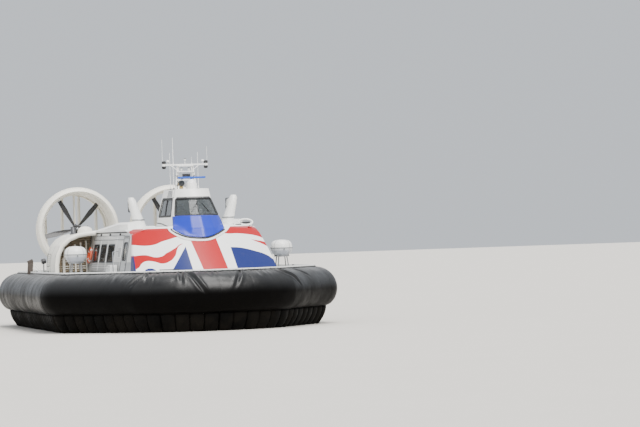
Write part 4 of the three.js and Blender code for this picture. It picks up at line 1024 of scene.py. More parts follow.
def bag_row(distance, seed, lift=0.0, inset=0):
    """Points down the bag's section at a distance; inset leaves as many out at both ends."""
    here, out = EDGE.station(distance)
    row = []
    for r in range(inset, BAG_ROWS - inset):
        share = r / (BAG_ROWS - 1)
        held = min(1.0, share / HELD_SHARE, (1 - share) / HELD_SHARE)
        push = bag_push(distance, share, seed) * held + lift
        place = here + out * (BAG_LINE[r][0] - BAG_SLOPES[r][1] * push)
        row.append((place.x, place.y, BAG_LINE[r][1] + BAG_SLOPES[r][0] * push))
    return row


def bag_rows(first, last, seed, step):
    """Sections of the bag from one distance along the edge to another."""
    count = max(int(abs(last - first) / step), 4)
    return [bag_row(first + (last - first) * k / count, seed) for k in range(count + 1)]


def side_marks():
    """Distances along the edge of the end of the bow section and the start of the stern section."""
    front = next(m for m, p in zip(EDGE.marks, EDGE.points) if p.y > BOW_CORNER_Y + 0.15)
    rear = EDGE.length - (HALF_BEAM_STERN - STERN_CORNER_RADIUS) - 2.6
    return front, rear


FRONT_MARK, REAR_MARK = side_marks()
SEAM_HALF = 0.045


def build_bags():
    """Four inflated lengths of bag round the raft, and strips over their seams."""
    runs = {
        "bow": (-FRONT_MARK, FRONT_MARK),
        "port": (FRONT_MARK, REAR_MARK),
        "starboard": (-REAR_MARK, -FRONT_MARK),
        "stern": (REAR_MARK, 2 * EDGE.length - REAR_MARK),
    }
    for index, (name, (first, last)) in enumerate(runs.items()):
        bag = Piece(f"skirt_bag_{name}_inflated")
        bag.grid(bag_rows(first, last, 1.0 + index, BAG_STEP[name]), "bag")
        piece = bag.finish(sharp=180, thick=0.012)
        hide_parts(f"skirt_bag_{name}")
    seams = Piece("skirt_bag_seams")
    marks = np.arange(-EDGE.length + SEAM_PITCH / 2, EDGE.length, SEAM_PITCH)
    for mark in [*marks, FRONT_MARK, -FRONT_MARK, REAR_MARK, -REAR_MARK]:
        joint = min(abs(abs(mark) - FRONT_MARK), abs(abs(mark) - REAR_MARK)) < 1e-6
        mark = mark if joint else round(mark / SEAM_PITCH) * SEAM_PITCH
        seed = 4.0 if abs(mark) > REAR_MARK else 1.0 if abs(mark) < FRONT_MARK else 2.0 if mark > 0 else 3.0
        strip = []
        for share_across in (-1.0, -0.9, -0.45, 0.0, 0.45, 0.9, 1.0):
            lift = -0.006 if abs(share_across) == 1.0 else 0.004
            strip.append(bag_row(mark + SEAM_HALF * share_across, seed, lift, 1))
        seams.grid(strip, "bag")
    seams.finish(sharp=60)


FINGER_PITCH = 0.56
FINGER_HALF_SHARE = 0.488
FINGER_TOP = 0.758
FINGER_ACROSS = 12
FINGER_DOWN = 9


def build_fingers():
    """Separate open fingers round the edge, each bulged outwards, slanting in to the ground."""
    whole = 2 * EDGE.length
    count = round(whole / FINGER_PITCH)
    pitch = whole / count
    fingers = Piece("skirt_fingers_open")
    rng = np.random.default_rng(7)
    for k in range(count):
        middle = -EDGE.length + (k + 0.5) * pitch
        lean = rng.uniform(-0.02, 0.02)
        slack = rng.uniform(0.7, 1.2)
        rows = []
        for d in range(FINGER_DOWN + 1):
            down = d / FINGER_DOWN
            row = []
            for a in range(FINGER_ACROSS + 1):
                across = -1.22 + 2.44 * a / FINGER_ACROSS
                inside = max(0.0, abs(across) - 1.0)
                bulge = 0.060 * math.cos(min(abs(across), 1.0) * math.pi / 2) ** 0.7
                reach = 0.415 - 0.36 * down**1.9 + bulge * (0.75 + 0.35 * down * slack)
                reach -= inside * 0.9
                reach += 0.010 * ripple(k + across * 2.5, down * 5, 4.0) * down
                aside = math.copysign(min(abs(across), 1.0), across) * pitch * FINGER_HALF_SHARE
                along = middle + aside * (1 - 0.03 * down) + lean * down
                here, out = EDGE.station(along)
                height = FINGER_TOP * (1 - down) + 0.006
                height += 0.018 * down * (1 - math.cos(across * 1.4))
                height += 0.008 * down * math.sin(across * 5 + k)
                place = here + out * reach
                row.append((place.x, place.y, max(height, 0.002)))
            rows.append(row)
        fingers.grid(rows, "finger")
    piece = fingers.finish(sharp=60, thick=0.008)
    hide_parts("skirt_fingers")


# Wheelhouse

NOSE_SILL = [(-0.93, 4.765), (-0.66, 4.77), (-0.19, 4.765), (0.35, 4.76), (0.80, 4.745), (0.93, 4.735)]
NOSE_FOOT = [
    (-1.18, 4.25), (-1.06, 4.13), (-0.77, 3.96), (-0.38, 3.88), (0.09, 3.86), (0.51, 3.97),
    (1.02, 4.21),
]
NOSE_LINE = [
    (-1.24, 4.24), (-1.22, 4.16), (-1.08, 4.05), (-0.78, 3.90), (-0.39, 3.825), (0.07, 3.81),
    (0.49, 3.915), (1.0, 4.15),
]
NOSE_EDGE = [
    (-1.33, 4.25), (-1.30, 4.14), (-1.11, 3.97), (-0.81, 3.80), (-0.42, 3.735), (0.05, 3.725),
    (0.46, 3.82), (1.05, 4.09),
]
SCREEN = [(-0.89, 4.79), (0.89, 4.79), (0.725, 5.47), (-0.725, 5.47)]
SIDE_PANE = [
    (-7.08 + SHIFT, 4.80),
    (-4.86 + SHIFT, 4.80),
    (-5.12 + SHIFT, 5.46),
    (-6.76 + SHIFT, 5.46),
]
NOSE_OUT = Vector((0.0, -0.80, 0.60))
FRONT = Drape("wheelhouse_lower_wall", "front_cowl", "cabin_roof", "wheelhouse_upper_wall")


def front_y(x, z):
    """How far forward the front stands at a width and height, looking past narrow gaps."""
    for nudge in (0.0, 0.01, -0.01, 0.03, -0.03, 0.06, -0.06):
        for share in (1.0, 0.97, 0.93, 0.88):
            met = FRONT.trace("bow", [(x * share, z + nudge)])
            if met and met[0][0].y < -5.0:
                return met[0][0].y
    return -7.3


def build_nose():
    """Blue fairing from the windscreen sill over the roof's edge, with a black line of painted shadow under
    its lip and a white line round it.
    """
    across, down = 44, 34
    sill = spline(NOSE_SILL, across + 1)
    foot = spline(NOSE_FOOT, across + 1)
    rows = []
    for d in range(down + 1):
        share = d / down
        row = []
        for a in range(across + 1):
            x, z = sill[a] * (1 - share) + foot[a] * share
            skin = min(front_y(x + dx, z + dz) for dx in (-0.03, 0.0, 0.03) for dz in (-0.03, 0.0, 0.03))
            row.append(Vector((x, skin - 0.016, z)))
        rows.append(row)
    for _ in range(80):
        for d in range(1, down):
            for a in range(1, across):
                upright = (rows[d - 1][a].y + rows[d + 1][a].y) / 2
                level = (rows[d][a - 1].y + rows[d][a + 1].y) / 2
                rows[d][a].y = min(rows[d][a].y, (upright + level) / 2)
    nose = Piece("nose_fairing")
    nose.grid(rows, "fairing")
    nose.finish(sharp=70, thick=0.012)
    lines = Piece("nose_edge_lines")
    # the dark band along NOSE_LINE is painted shadow under the fairing's lip; the white band is the white
    # edge line
    for name, points, width in (("rubber_trim", NOSE_LINE, 0.055), ("white_plastic", NOSE_EDGE, 0.085)):
        path = []
        for x, z in spline(points, 64):
            path.append(Vector((x, min(front_y(x, z + dz) for dz in (-0.02, 0.0, 0.02)) - 0.004, z)))
        for _ in range(6):
            for i in range(1, len(path) - 1):
                path[i].y = min(path[i].y, (path[i - 1].y + path[i + 1].y) / 2)
        lines.band([(place, NOSE_OUT) for place in path], width, 0.022, name)
    lines.finish(sharp=60)


CORNER_FADE = Vector((2.79, -6.3 + SHIFT, 4.261))
CORNER_FRONT_Y = -7.28 + SHIFT
ROOF_FLAT_Z = 4.262
CORNER_FLATS = (((2.33, 4.262), (2.62, 4.15)), ((2.62, 4.15), (2.83, 3.96)))
SHOULDER = (2.64, -7.45 + SHIFT)
COWL_NOSE_Y = -8.63 + SHIFT
COWL_EDGE_X = 2.711


def corner_height(x, y):
    """Height of the rounded corner's flats at a place on the port side."""
    heights = []
    for (ax, az), (bx, bz) in CORNER_FLATS:
        inner, outer = Vector((ax, CORNER_FRONT_Y, az)), Vector((bx, CORNER_FRONT_Y, bz))
        across = (outer - inner).cross(CORNER_FADE - inner)
        heights.append(inner.z - (across.x * (x - inner.x) + across.y * (y - inner.y)) / across.z)
    return min(heights)


def build_corner_caps():
    """Sheet over each rounded front corner, where cowl, roof and side wall meet."""
    caps = Piece("cowl_corner_caps")
    rear = -6.86 + SHIFT
    for _, sign in SIDES:
        rows = []
        for a in range(29):
            x = 2.26 + (2.742 - 2.26) * a / 28
            if x < SHOULDER[0]:
                front = COWL_NOSE_Y + (SHOULDER[1] - COWL_NOSE_Y) * (x / SHOULDER[0]) ** 2
            else:
                share = min(1.0, (x - SHOULDER[0]) / (COWL_EDGE_X - SHOULDER[0]))
                front = SHOULDER[1] + (CORNER_FRONT_Y - SHOULDER[1]) * share
            places = [
                (y, min(corner_height(x, y), ROOF_FLAT_Z) + 0.004) for y in np.linspace(front, rear, 14)
            ]
            rows.append([Vector((sign * x, y, z)) for y, z in places])
        caps.grid(rows, "flag")
    caps.finish(sharp=70, thick=0.006)


WHEELHOUSE_SKIN = (
    "wheelhouse_upper_wall",
    "windshield",
    "wheelhouse_side_glass_starboard",
    "wheelhouse_side_glass_port",
)


def build_window_gaskets(skin):
    """Rubber frames round the windscreen and the side glass, with their dividers."""
    frames = Piece("wheelhouse_gaskets")
    loop = rounded_outline(offset_outline(SCREEN, 0.022), 0.06, 0.08)
    frames.band(skin.trace("bow", loop), 0.085, 0.022, "rubber_trim", closed=True)
    middle = between((0.0, 4.80), (0.0, 5.46), 0.08)
    frames.band(skin.trace("bow", middle, 0.006), 0.022, 0.012, "rubber_trim")
    for _, sign in SIDES:
        loop = rounded_outline(offset_outline(SIDE_PANE, 0.035), 0.09, 0.12)
        frames.band(skin.trace(sign, loop, -0.004), 0.085, 0.02, "rubber_trim", closed=True)
        divider = between((-5.62, 4.81), (-5.60, 5.45), 0.1)
        frames.band(skin.trace(sign, divider, 0.004), 0.12, 0.022, "rubber_trim")
    frames.finish(sharp=50)


def build_wipers(skin):
    """Two wipers parked upright, each with its arm, blade and hub."""
    wipers = Piece("windscreen_wipers")
    blade = 0.44
    hub_cap = [(0.0, 0.0), (0.026, 0.0), (0.026, 0.032), (0.016, 0.045), (0.0, 0.045)]
    for foot, tip in (((-0.38, 4.80), (-0.10, 5.16)), ((0.52, 4.80), (0.30, 5.14))):
        arm = skin.trace("bow", between(foot, tip, 0.1), 0.034)
        wipers.tube([p for p, _ in arm], 0.007, "dark", sides=6)
        start, end = Vector(foot), Vector(tip)
        along = (end - start).normalized()
        low, high = end - along * blade * 0.62, end + along * blade * 0.38
        wipers.band(skin.trace("bow", between(low, high, 0.06), 0.008), 0.012, 0.022, "rubber_trim")
        wipers.turned(hub_cap, "dark", *skin.trace("bow", [foot])[0], 12)
    wipers.finish(sharp=50)


def build_wheelhouse_lines():
    """Louvres and seams on the wheelhouse roof's edge and the dark line round the wheelhouse foot."""
    upper = Drape("wheelhouse_roof")
    trim = Piece("wheelhouse_roof_trim")
    for _, sign in SIDES:
        for k in range(6):
            z = 5.585 + 0.048 * k
            line = between((-6.35 + 0.03 * k, z), (-5.42 - 0.012 * k, z), 0.2)
            trim.band(upper.trace(sign, line), 0.022, 0.016, "plastic")
        rim = rounded_outline([(-6.42, 5.555), (-5.36, 5.555), (-5.44, 5.86), (-6.26, 5.86)], 0.03, 0.2)
        trim.band(upper.trace(sign, rim, -0.002), 0.026, 0.014, "white", closed=True)
        seam = between((-6.72, 5.545), (-4.74, 5.545), 0.12)
        trim.band(upper.trace(sign, seam, -0.003), 0.018, 0.012, "rubber_trim")
    brow = between((-0.70, 5.55), (0.70, 5.55), 0.07)
    trim.band(upper.trace("bow", brow, -0.003), 0.02, 0.014, "rubber_trim")
    trim.finish(sharp=50)

    lower = Drape("wheelhouse_lower_wall")
    foot = Piece("wheelhouse_foot_line")
    for _, sign in SIDES:
        line = between((-7.62, 4.285), (-7.05, 4.30), 0.06) + between((-6.95, 4.31), (-5.19, 4.47), 0.12)
        line += between((-5.10, 4.475), (-4.35, 4.50), 0.12)
        foot.band(lower.trace(sign, line), 0.05, 0.01, "dark")
    foot.finish(sharp=50)


def build_helm():
    """Two helm seats and a console with screens, levers and a wheel."""
    helm = Piece("helm_seat_cushions")
    for _, sign in SIDES:
        x, y = sign * 0.42, -6.70 + SHIFT
        helm.cushion((x, y - 0.03, 4.335), (0.27, 0.29, 0.085), "seat", channels=2)
        lean = tilt(86, "X")
        helm.cushion((x, y + 0.20, 4.70), (0.26, 0.34, 0.10), "seat", lean, channels=2)
        helm.cushion((x, y + 0.19, 5.10), (0.15, 0.09, 0.06), "seat", lean)
    piece = helm.finish(sharp=180, levels=1)

    console = Piece("helm_console_fittings")
    for x in (-0.42, -0.14, 0.14, 0.42):
        console.box((x - 0.125, -7.44, 4.642), (x + 0.125, -7.30, 4.80), "dark", 0.012, tilt(-18, "X"))
    for x in (-0.55, 0.55):
        console.box((x - 0.05, -7.22, 4.642), (x + 0.05, -7.05, 4.66), "plastic", 0.006)
        console.tube([(x, -7.13, 4.66), (x, -7.10, 4.76)], 0.009, "metal", 8)
        knob = [(0.0, -0.022), (0.018, -0.014), (0.022, 0.0), (0.018, 0.014), (0.0, 0.022)]
        console.turned(knob, "dark", (x, -7.10, 4.77), (0, 0, 1), 12)
    ring = [Vector((-0.42 + 0.17 * math.cos(t), -6.98, 4.62 + 0.17 * math.sin(t))) for t in turns(24)]
    console.tube(ring, 0.013, "dark", 8, closed=True)
    for t in turns(3):
        rim = (-0.42 - 0.17 * math.sin(t), -6.98, 4.62 + 0.17 * math.cos(t))
        console.tube([(-0.42, -7.0, 4.62), rim], 0.009, "metal", 6)
    console.tube([(-0.42, -7.10, 4.60), (-0.42, -6.99, 4.62)], 0.02, "metal", 8)
    console.finish(sharp=45)


# Cabin

WALL_FOOT_X = 3.04
WALL_FOOT_Z = 2.4503
WALL_LEAN = 0.19
WINDOW_ROWS = ((-4.22 + SHIFT, -2.90 + SHIFT), (-2.48 + SHIFT, -1.31 + SHIFT), (-0.90 + SHIFT, 0.26 + SHIFT))
WINDOW_HEIGHTS = (2.93, 3.61)
DOOR_LIGHT = ((-6.90 + SHIFT, -6.22 + SHIFT), (2.99, 3.70))
EAVE_LAMP = ((0.0, 0.0), (0.055, 0.0), (0.055, 0.03), (0.035, 0.055), (0.0, 0.055))
BOARDING_RAIL = (
    (3.30, -5.72, DECK_TOP),
    (3.30, -5.72, 3.25),
    (3.28, -5.66, 3.33),
    (3.12, -5.62, 3.36),
    (3.02, -5.60, 3.36),
)
# Height, width, thickness and paint of the strips along a cabin wall's foot
WALL_STRIPS = (
    (2.50, 0.05, 0.012, "metal"),
    (2.66, 0.016, 0.008, "white"),
    (2.74, 0.016, 0.008, "white"),
    (2.82, 0.016, 0.008, "white"),
)
DOOR_EDGES = ((-7.112 + SHIFT, -6.028 + SHIFT), (2.508, 3.935))


def wall_out(sign):
    """Outward direction of a cabin wall."""
    return Vector((sign, 0, WALL_LEAN)).normalized()


def wall_spot(sign, y, z, lift=0.0):
    """A place on the leaning outer face of a cabin wall."""
    return Vector((sign * (WALL_FOOT_X - WALL_LEAN * (z - WALL_FOOT_Z)), y, z)) + wall_out(sign) * lift


def wall_trace(sign, line, lift=0.0):
    """(place, outward) pairs on a cabin wall along a line of (y, z) places."""
    return [(wall_spot(sign, y, z, lift), wall_out(sign)) for y, z in line]


def wall_strip(sign, first, last, spacing=0.3):
    """Trace of a straight strip on a cabin wall between two (y, z) places."""
    return wall_trace(sign, between(first, last, spacing))


def oblong(edges, heights, grow=0.0):
    """Corners of a rectangle, moved outwards by grow."""
    (front, rear), (low, high) = edges, heights
    front, rear, low, high = front - grow, rear + grow, low - grow, high + grow
    return [(front, low), (rear, low), (rear, high), (front, high)]


def build_cabin_windows(name, sign):
    """Panes, frames and beads of a side's windows, and the light, seam, grip and lock of its door."""
    panes = Piece(f"cabin_window_panes_{name}")
    frames = Piece(f"cabin_window_frames_{name}")
    for edges in WINDOW_ROWS:
        line = rounded_outline(oblong(edges, WINDOW_HEIGHTS, -0.001), 0.02)
        panes.plate([wall_spot(sign, y, z, -0.014) for y, z in line], wall_out(sign), 0.010, "window")
        frame_line = rounded_outline(oblong(edges, WINDOW_HEIGHTS, 0.012), 0.09)
        frames.band(wall_trace(sign, frame_line, -0.001), 0.062, 0.014, "rubber_trim", closed=True)
        bead = rounded_outline(oblong(edges, WINDOW_HEIGHTS, 0.055), 0.12)
        frames.band(wall_trace(sign, bead, -0.001), 0.024, 0.010, "metal", closed=True)
    panes.finish()
    frames.finish(sharp=50)

    light = Piece(f"door_light_{name}")
    line = rounded_outline(oblong(*DOOR_LIGHT, -0.001), 0.02)
    light.plate([wall_spot(sign, y, z, -0.014) for y, z in line], wall_out(sign), 0.010, "window")
    frame_line = rounded_outline(oblong(*DOOR_LIGHT, 0.012), 0.09)
    light.band(wall_trace(sign, frame_line, -0.001), 0.055, 0.013, "rubber_trim", closed=True)
    seam = rounded_outline(oblong(*DOOR_EDGES, -0.05), 0.05)
    light.band(wall_trace(sign, seam, -0.001), 0.02, 0.008, "metal", closed=True)
    grip_line = ((2.98, 0.0), (2.99, 0.045), (3.32, 0.045), (3.33, 0.0))
    grip = [wall_spot(sign, DOOR_EDGES[0][0] + 0.16, z, lift) for z, lift in grip_line]
    light.tube(grip, 0.012, "metal", 8)
    lock, half = wall_spot(sign, DOOR_EDGES[0][0] + 0.12, 2.80), Vector((0.012, 0.04, 0.06))
    light.box(lock - half, lock + half, "metal", 0.006)
    light.finish(f"cabin_door_{name}", sharp=50)


def build_cabin_trim(name, sign):
    """Rail, strips, a dark band of painted shadow under the eave, vent, lamps and door lining on a cabin side
    wall.
    """
    trim = Piece(f"cabin_wall_trim_{name}")
    rear = 0.18 + SHIFT
    start = -5.94 + SHIFT
    for z, width, height, paint_name in WALL_STRIPS:
        trim.band(wall_strip(sign, (start, z), (rear, z), 0.5), width, height, paint_name)
    # dark band under the eave: painted shadow of the roof's overhang
    trim.band(wall_strip(sign, (-6.35 + SHIFT, 4.155), (rear, 4.155), 0.5), 0.05, 0.02, "rubber_trim")
    trim.band(wall_strip(sign, (-5.95 + SHIFT, 4.02), (rear, 4.02), 0.5), 0.022, 0.02, "metal")
    for y in (-5.86, -4.55, -2.69, -1.10):
        trim.band(wall_strip(sign, (y + SHIFT, 2.47), (y + SHIFT, 4.12)), 0.022, 0.007, "white")
    # handrail with its standoffs
    rail_z, standoff = 3.84, 0.07
    rail = [wall_spot(sign, y + SHIFT, rail_z, standoff) for y in np.linspace(-5.85, 0.1, 24)]
    ends = [wall_spot(sign, y + SHIFT, rail_z) for y in (-5.90, 0.15)]
    trim.tube([ends[0], *rail, ends[1]], 0.014, "metal", 8)
    for y in np.linspace(-5.0, -0.7, 5):
        foot = [wall_spot(sign, y + SHIFT, rail_z, lift) for lift in (0.0, standoff)]
        trim.tube(foot, 0.009, "metal", 6)
    # louvred vent and small lamps under the eave
    for k in range(7):
        z = 3.15 + 0.055 * k
        trim.band(wall_strip(sign, (-5.72 + SHIFT, z), (-5.10 + SHIFT, z)), 0.03, 0.016, "grey")
    vent = rounded_outline(oblong((-5.78 + SHIFT, -5.04 + SHIFT), (3.10, 3.53)), 0.03, 0.3)
    trim.band(wall_trace(sign, vent), 0.03, 0.012, "white", closed=True)
    for y in (-4.79, -2.6, -0.6):
        trim.turned(EAVE_LAMP, "dark", wall_spot(sign, y, 4.06), wall_out(sign), 14)
    # door lining, door head and step
    for y in (DOOR_EDGES[0][0] - 0.045, DOOR_EDGES[0][1] + 0.05):
        trim.band(wall_strip(sign, (y, 2.49), (y, 3.95)), 0.035, 0.012, "rubber_trim")
    head = (DOOR_EDGES[0][0] + 0.03, 3.985), (DOOR_EDGES[0][1] + 0.06, 3.985)
    trim.band(wall_strip(sign, *head), 0.05, 0.03, "metal")
    x, (front, back) = sign * 3.22, DOOR_EDGES[0]
    trim.box((x - 0.14, front + 0.1, DECK_TOP), (x + 0.14, back - 0.1, 2.475), "rubber_trim", 0.004)
    trim.finish(sharp=50)


def build_side_deck_gear(name, sign):
    """Deck gear behind the door: two lockers with their catches and a boarding rail."""
    gear = Piece(f"side_deck_gear_{name}")
    for front, rear, height, reach in ((-5.55, -4.95, 0.34, 0.30), (-4.85, -4.30, 0.26, 0.26)):
        x = sign * 3.09
        face, lid = x + sign * reach, DECK_TOP + height
        gear.box((min(x, face), front, DECK_TOP), (max(x, face), rear, lid), "white_plastic", 0.025)
        for share in (0.3, 0.7):
            catch = (face, front + (rear - front) * share)
            gear.slab(catch, (0.006, 0.03), (lid - 0.09, lid - 0.03), "metal", 0.002)
    gear.tube([(sign * x, y, z) for x, y, z in BOARDING_RAIL], 0.019, "metal", 8)
    gear.finish(sharp=45)


SEAT_ROWS = 9
SEATS_ABREAST = 4
ROW_PITCH = 1.05
FIRST_ROW_Y = -5.60 + SHIFT
AISLE_X = 0.42
WALL_SEAT_X = 2.70


def build_seats(name, sign):
    """Rows of four padded seats on one side of the aisle, on a carpeted plinth."""
    inner, outer, places = AISLE_X, WALL_SEAT_X, SEATS_ABREAST
    width = (outer - inner) / places
    frames = Piece(f"seat_frames_{name}")
    pads = Piece(f"seat_cushions_{name}")
    front, rear = FIRST_ROW_Y - 0.35, FIRST_ROW_Y + (SEAT_ROWS - 1) * ROW_PITCH + 0.45
    low_x, high_x = sorted((sign * inner, sign * outer))
    frames.box((low_x, front, DECK_TOP), (high_x, rear, 2.548), "carpet", 0.006)
    for row in range(SEAT_ROWS):
        y = FIRST_ROW_Y + ROW_PITCH * row
        for seat in range(places):
            x = sign * (inner + width * (seat + 0.5))
            pads.cushion((x, y - 0.02, 2.86), (width * 0.46, 0.25, 0.075), "seat", channels=1)
            lean = tilt(82, "X")
            pads.cushion((x, y + 0.215, 3.22), (width * 0.45, 0.29, 0.075), "seat", lean, channels=2)
            pads.cushion((x, y + 0.245, 3.455), (width * 0.34, 0.085, 0.07), "seat", lean)
        for arm in range(places + 1):
            x = sign * (inner + width * arm)
            x = min(max(x, low_x + 0.02), high_x - 0.02)
            frames.box((x - 0.018, y - 0.20, 3.04), (x + 0.018, y + 0.17, 3.07), "plastic", 0.008)
            frames.tube([(x, y + 0.12, 2.77), (x, y + 0.15, 3.045)], 0.011, "metal", 6)
        for seat in range(places):
            x = sign * (inner + width * (seat + 0.5))
            frames.tube([(x, y - 0.17, 2.545), (x, y - 0.15, 2.79)], 0.013, "metal", 6)
            frames.tube([(x, y + 0.16, 2.545), (x, y + 0.14, 2.79)], 0.013, "metal", 6)
        for rail in (y - 0.15, y + 0.14):
            frames.tube([(low_x + 0.03, rail, 2.785), (high_x - 0.03, rail, 2.785)], 0.014, "metal", 6)
    frames.finish(sharp=45)
    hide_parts(f"seat_rows_{name}")
    piece = pads.finish(sharp=180)
    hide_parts(f"seat_rows_{name}")


# Machinery covers

ROOF_EDGE_X = 2.7903
# Section of the machinery cover, as (width, height) places
MODULE_LINE = [
    (2.90, 4.10),
    (3.16, 4.09),
    (3.56, 4.03),
    (3.95, 3.875),
    (4.265, 3.61),
    (4.44, 3.25),
    (4.515, 2.85),
    (4.525, DECK_TOP),
]
MODULE_WIDTHS, MODULE_HEIGHTS = zip(*MODULE_LINE[:1:-1])
STACK_PROFILE = [
    # radius, height
    (0.0, 0.0),
    (0.17, 0.0),
    (0.17, 0.05),
    (0.12, 0.07),
    (0.11, 0.32),
    (0.125, 0.33),
    (0.125, 0.345),
    (0.10, 0.345),
    (0.095, 0.20),
    (0.0, 0.20),
]


def flared(x, y):
    """Width of the machinery cover at a distance aft, relative to the roof's edge."""
    front, middle, rear = 0.26 + SHIFT, 2.63 + SHIFT, 5.0 + SHIFT
    if y < middle:
        share = 1 - 0.01 * (y - front) / (middle - front)
    else:
        share = 0.99 - 0.23 * (y - middle) / (rear - middle)
    return ROOF_EDGE_X + (x - ROOF_EDGE_X) * share


def build_intake(name, sign):
    """Inside an arched intake: ribs and posts on the lining, louvre slats over the grille; the brown shade
    paint on the middle rib, the middle post and the upper and every third slat is painted shade.
    """
    lining = Piece(f"intake_lining_{name}")
    line = spline(MODULE_LINE, 40)
    # the middle rib is in brown painted shade under the lip
    for y, width, paint_name in ((0.72, 0.07, "cream"), (1.05, 0.09, "shade"), (1.42, 0.07, "cream")):
        trace = []
        for i, (x, z) in enumerate(line):
            before, after = line[max(i - 1, 0)], line[min(i + 1, len(line) - 1)]
            along = (after - before) / np.linalg.norm(after - before)
            inward = Vector((sign * along[1], 0, -along[0])).normalized()
            trace.append((Vector((sign * flared(x, y), y, z)), inward))
        lining.band(trace, width, 0.045, paint_name)
    for k, depth in enumerate((0.10, 0.21, 0.32)):
        x = MODULE_LINE[5][0] - depth
        post_x = sign * flared(x, 1.4)
        post = [(post_x, 1.40, DECK_TOP), (post_x, 1.40, 3.0 + 0.12 * (3 - k))]
        lining.tube(post, 0.03, "cream" if k % 2 == 0 else "shade", 8)
    # louvre slats ahead of the grille; the upper ones and every third one in brown painted shade
    for k in range(15):
        z = 2.54 + 0.10 * k
        outer = flared(np.interp(z, MODULE_HEIGHTS, MODULE_WIDTHS), 1.55) - 0.03
        inner = WALL_FOOT_X - WALL_LEAN * (z - WALL_FOOT_Z) + 0.04
        low_x, high_x = sorted((sign * inner, sign * outer))
        slat = "shade" if z > 3.3 or k % 3 == 0 else "cream"
        lining.box((low_x, 1.53, z - 0.006), (high_x, 1.60, z + 0.006), slat, 0.002, tilt(35, "X"))
    for share in (0.0, 0.2, 0.4, 0.6, 0.8):
        x = sign * (3.05 + 1.25 * share)
        lining.box((x - 0.03, 1.42, DECK_TOP), (x + 0.03, 1.50, 3.85 - 0.35 * share), "cream", 0.006)
    lining.finish(sharp=40)


def build_cover_fittings(name, sign):
    """Seams, louvred hatches, closing panel, exhaust stack and lifting eyes of a machinery cover."""
    skin = Drape(f"machinery_cover_{name}")
    outside = Piece(f"machinery_cover_fittings_{name}")
    for y in (0.95, 2.0, 3.1, 4.2):
        heights = np.linspace(2.50, 3.9, 22)
        outside.band(skin.trace(sign, [(y, z) for z in heights], -0.001), 0.02, 0.006, "metal")
    low, high = 2.75, 3.3
    for first, last in ((2.2, 2.95), (3.3, 4.0)):
        hatch = rounded_outline(oblong((first, last), (low, high)), 0.05, 0.12)
        outside.band(skin.trace(sign, hatch, -0.001), 0.022, 0.008, "rubber_trim", closed=True)
        for k in range(5):
            z = low + 0.10 + 0.085 * k
            louvre = between((first + 0.1, z), (last - 0.1, z))
            outside.band(skin.trace(sign, louvre), 0.03, 0.016, "grey")
    # closing panel behind the cabin's rear corner, with its stiffeners
    low_x, high_x = sorted((sign * 2.797, sign * 2.825))
    outside.box((low_x, 4.665, DECK_TOP), (high_x, 5.285, 4.10), "cream", 0.004)
    for z in (2.62, 3.1, 3.58, 4.02):
        low_x, high_x = sorted((sign * 2.772, sign * 2.80))
        outside.box((low_x, 4.70, z - 0.02), (high_x, 5.26, z + 0.02), "cream", 0.006)
    # exhaust stack with its rain cap
    stack = skin.trace("above", [(sign * 3.25, 3.35)], -0.03)[0][0]
    outside.turned(STACK_PROFILE, "steel", stack, (0, 0.25, 1), 20)
    # lifting eyes
    for place, _ in skin.trace("above", [(sign * 3.05, y) for y in (1.0, 2.5, 4.0)]):
        half_ring = np.linspace(0, math.pi, 8)
        eye = [place + Vector((0, 0.06 * math.cos(t), 0.03 + 0.03 * math.sin(t))) for t in half_ring]
        outside.tube(eye, 0.008, "metal", 6)
    outside.finish(sharp=45)


# Lifebuoys and liferafts


def build_lifebuoy(name, sign):
    """A ring with four sleeves and a grab line on a side wall, on two hooks."""
    buoy = Piece(f"lifebuoy_{name}")
    centre = wall_spot(sign, 1.0, 3.18, 0.09)
    out = wall_out(sign)
    up = Vector((-sign * WALL_LEAN, 0, 1)).normalized()
    along = out.cross(up).normalized()

    def section(angle, across, thick):
        away = along * math.cos(angle) + up * math.sin(angle)
        ring = [away * (0.28 + across * math.cos(a)) + out * (thick * math.sin(a)) for a in turns(14)]
        return [centre + spot for spot in ring]

    buoy.grid([section(t, 0.085, 0.055) for t in turns(40)], "orange", around=True, along=True)
    for quarter in turns(4):
        middle = quarter + math.pi / 4
        sleeve = [section(t, 0.089, 0.059) for t in np.linspace(middle - 0.12, middle + 0.12, 5)]
        buoy.grid(sleeve, "white_plastic", around=True)
    line = [
        centre + (along * math.cos(t) + up * math.sin(t)) * (0.385 + 0.02 * math.cos(4 * t)) + out * 0.02
        for t in turns(48)
    ]
    buoy.tube(line, 0.006, "rope", 6, closed=True)
    for offset in (-0.14, 0.14):
        foot = centre + along * offset - up * 0.30
        tip = foot + out * 0.07
        buoy.tube([foot - out * 0.10, tip, tip + up * 0.06], 0.010, "metal", 6)
    buoy.finish(sharp=50)


RAFT_PROFILE = [
    (0.0, -0.385),
    (0.15, -0.38),
    (0.26, -0.345),
    (0.36, -0.26),
    (0.440, -0.13),
    (0.470, -0.02),
    (0.472, 0.03),
    (0.462, 0.11),
    (0.425, 0.22),
    (0.33, 0.305),
    (0.18, 0.35),
    (0.0, 0.362),
]


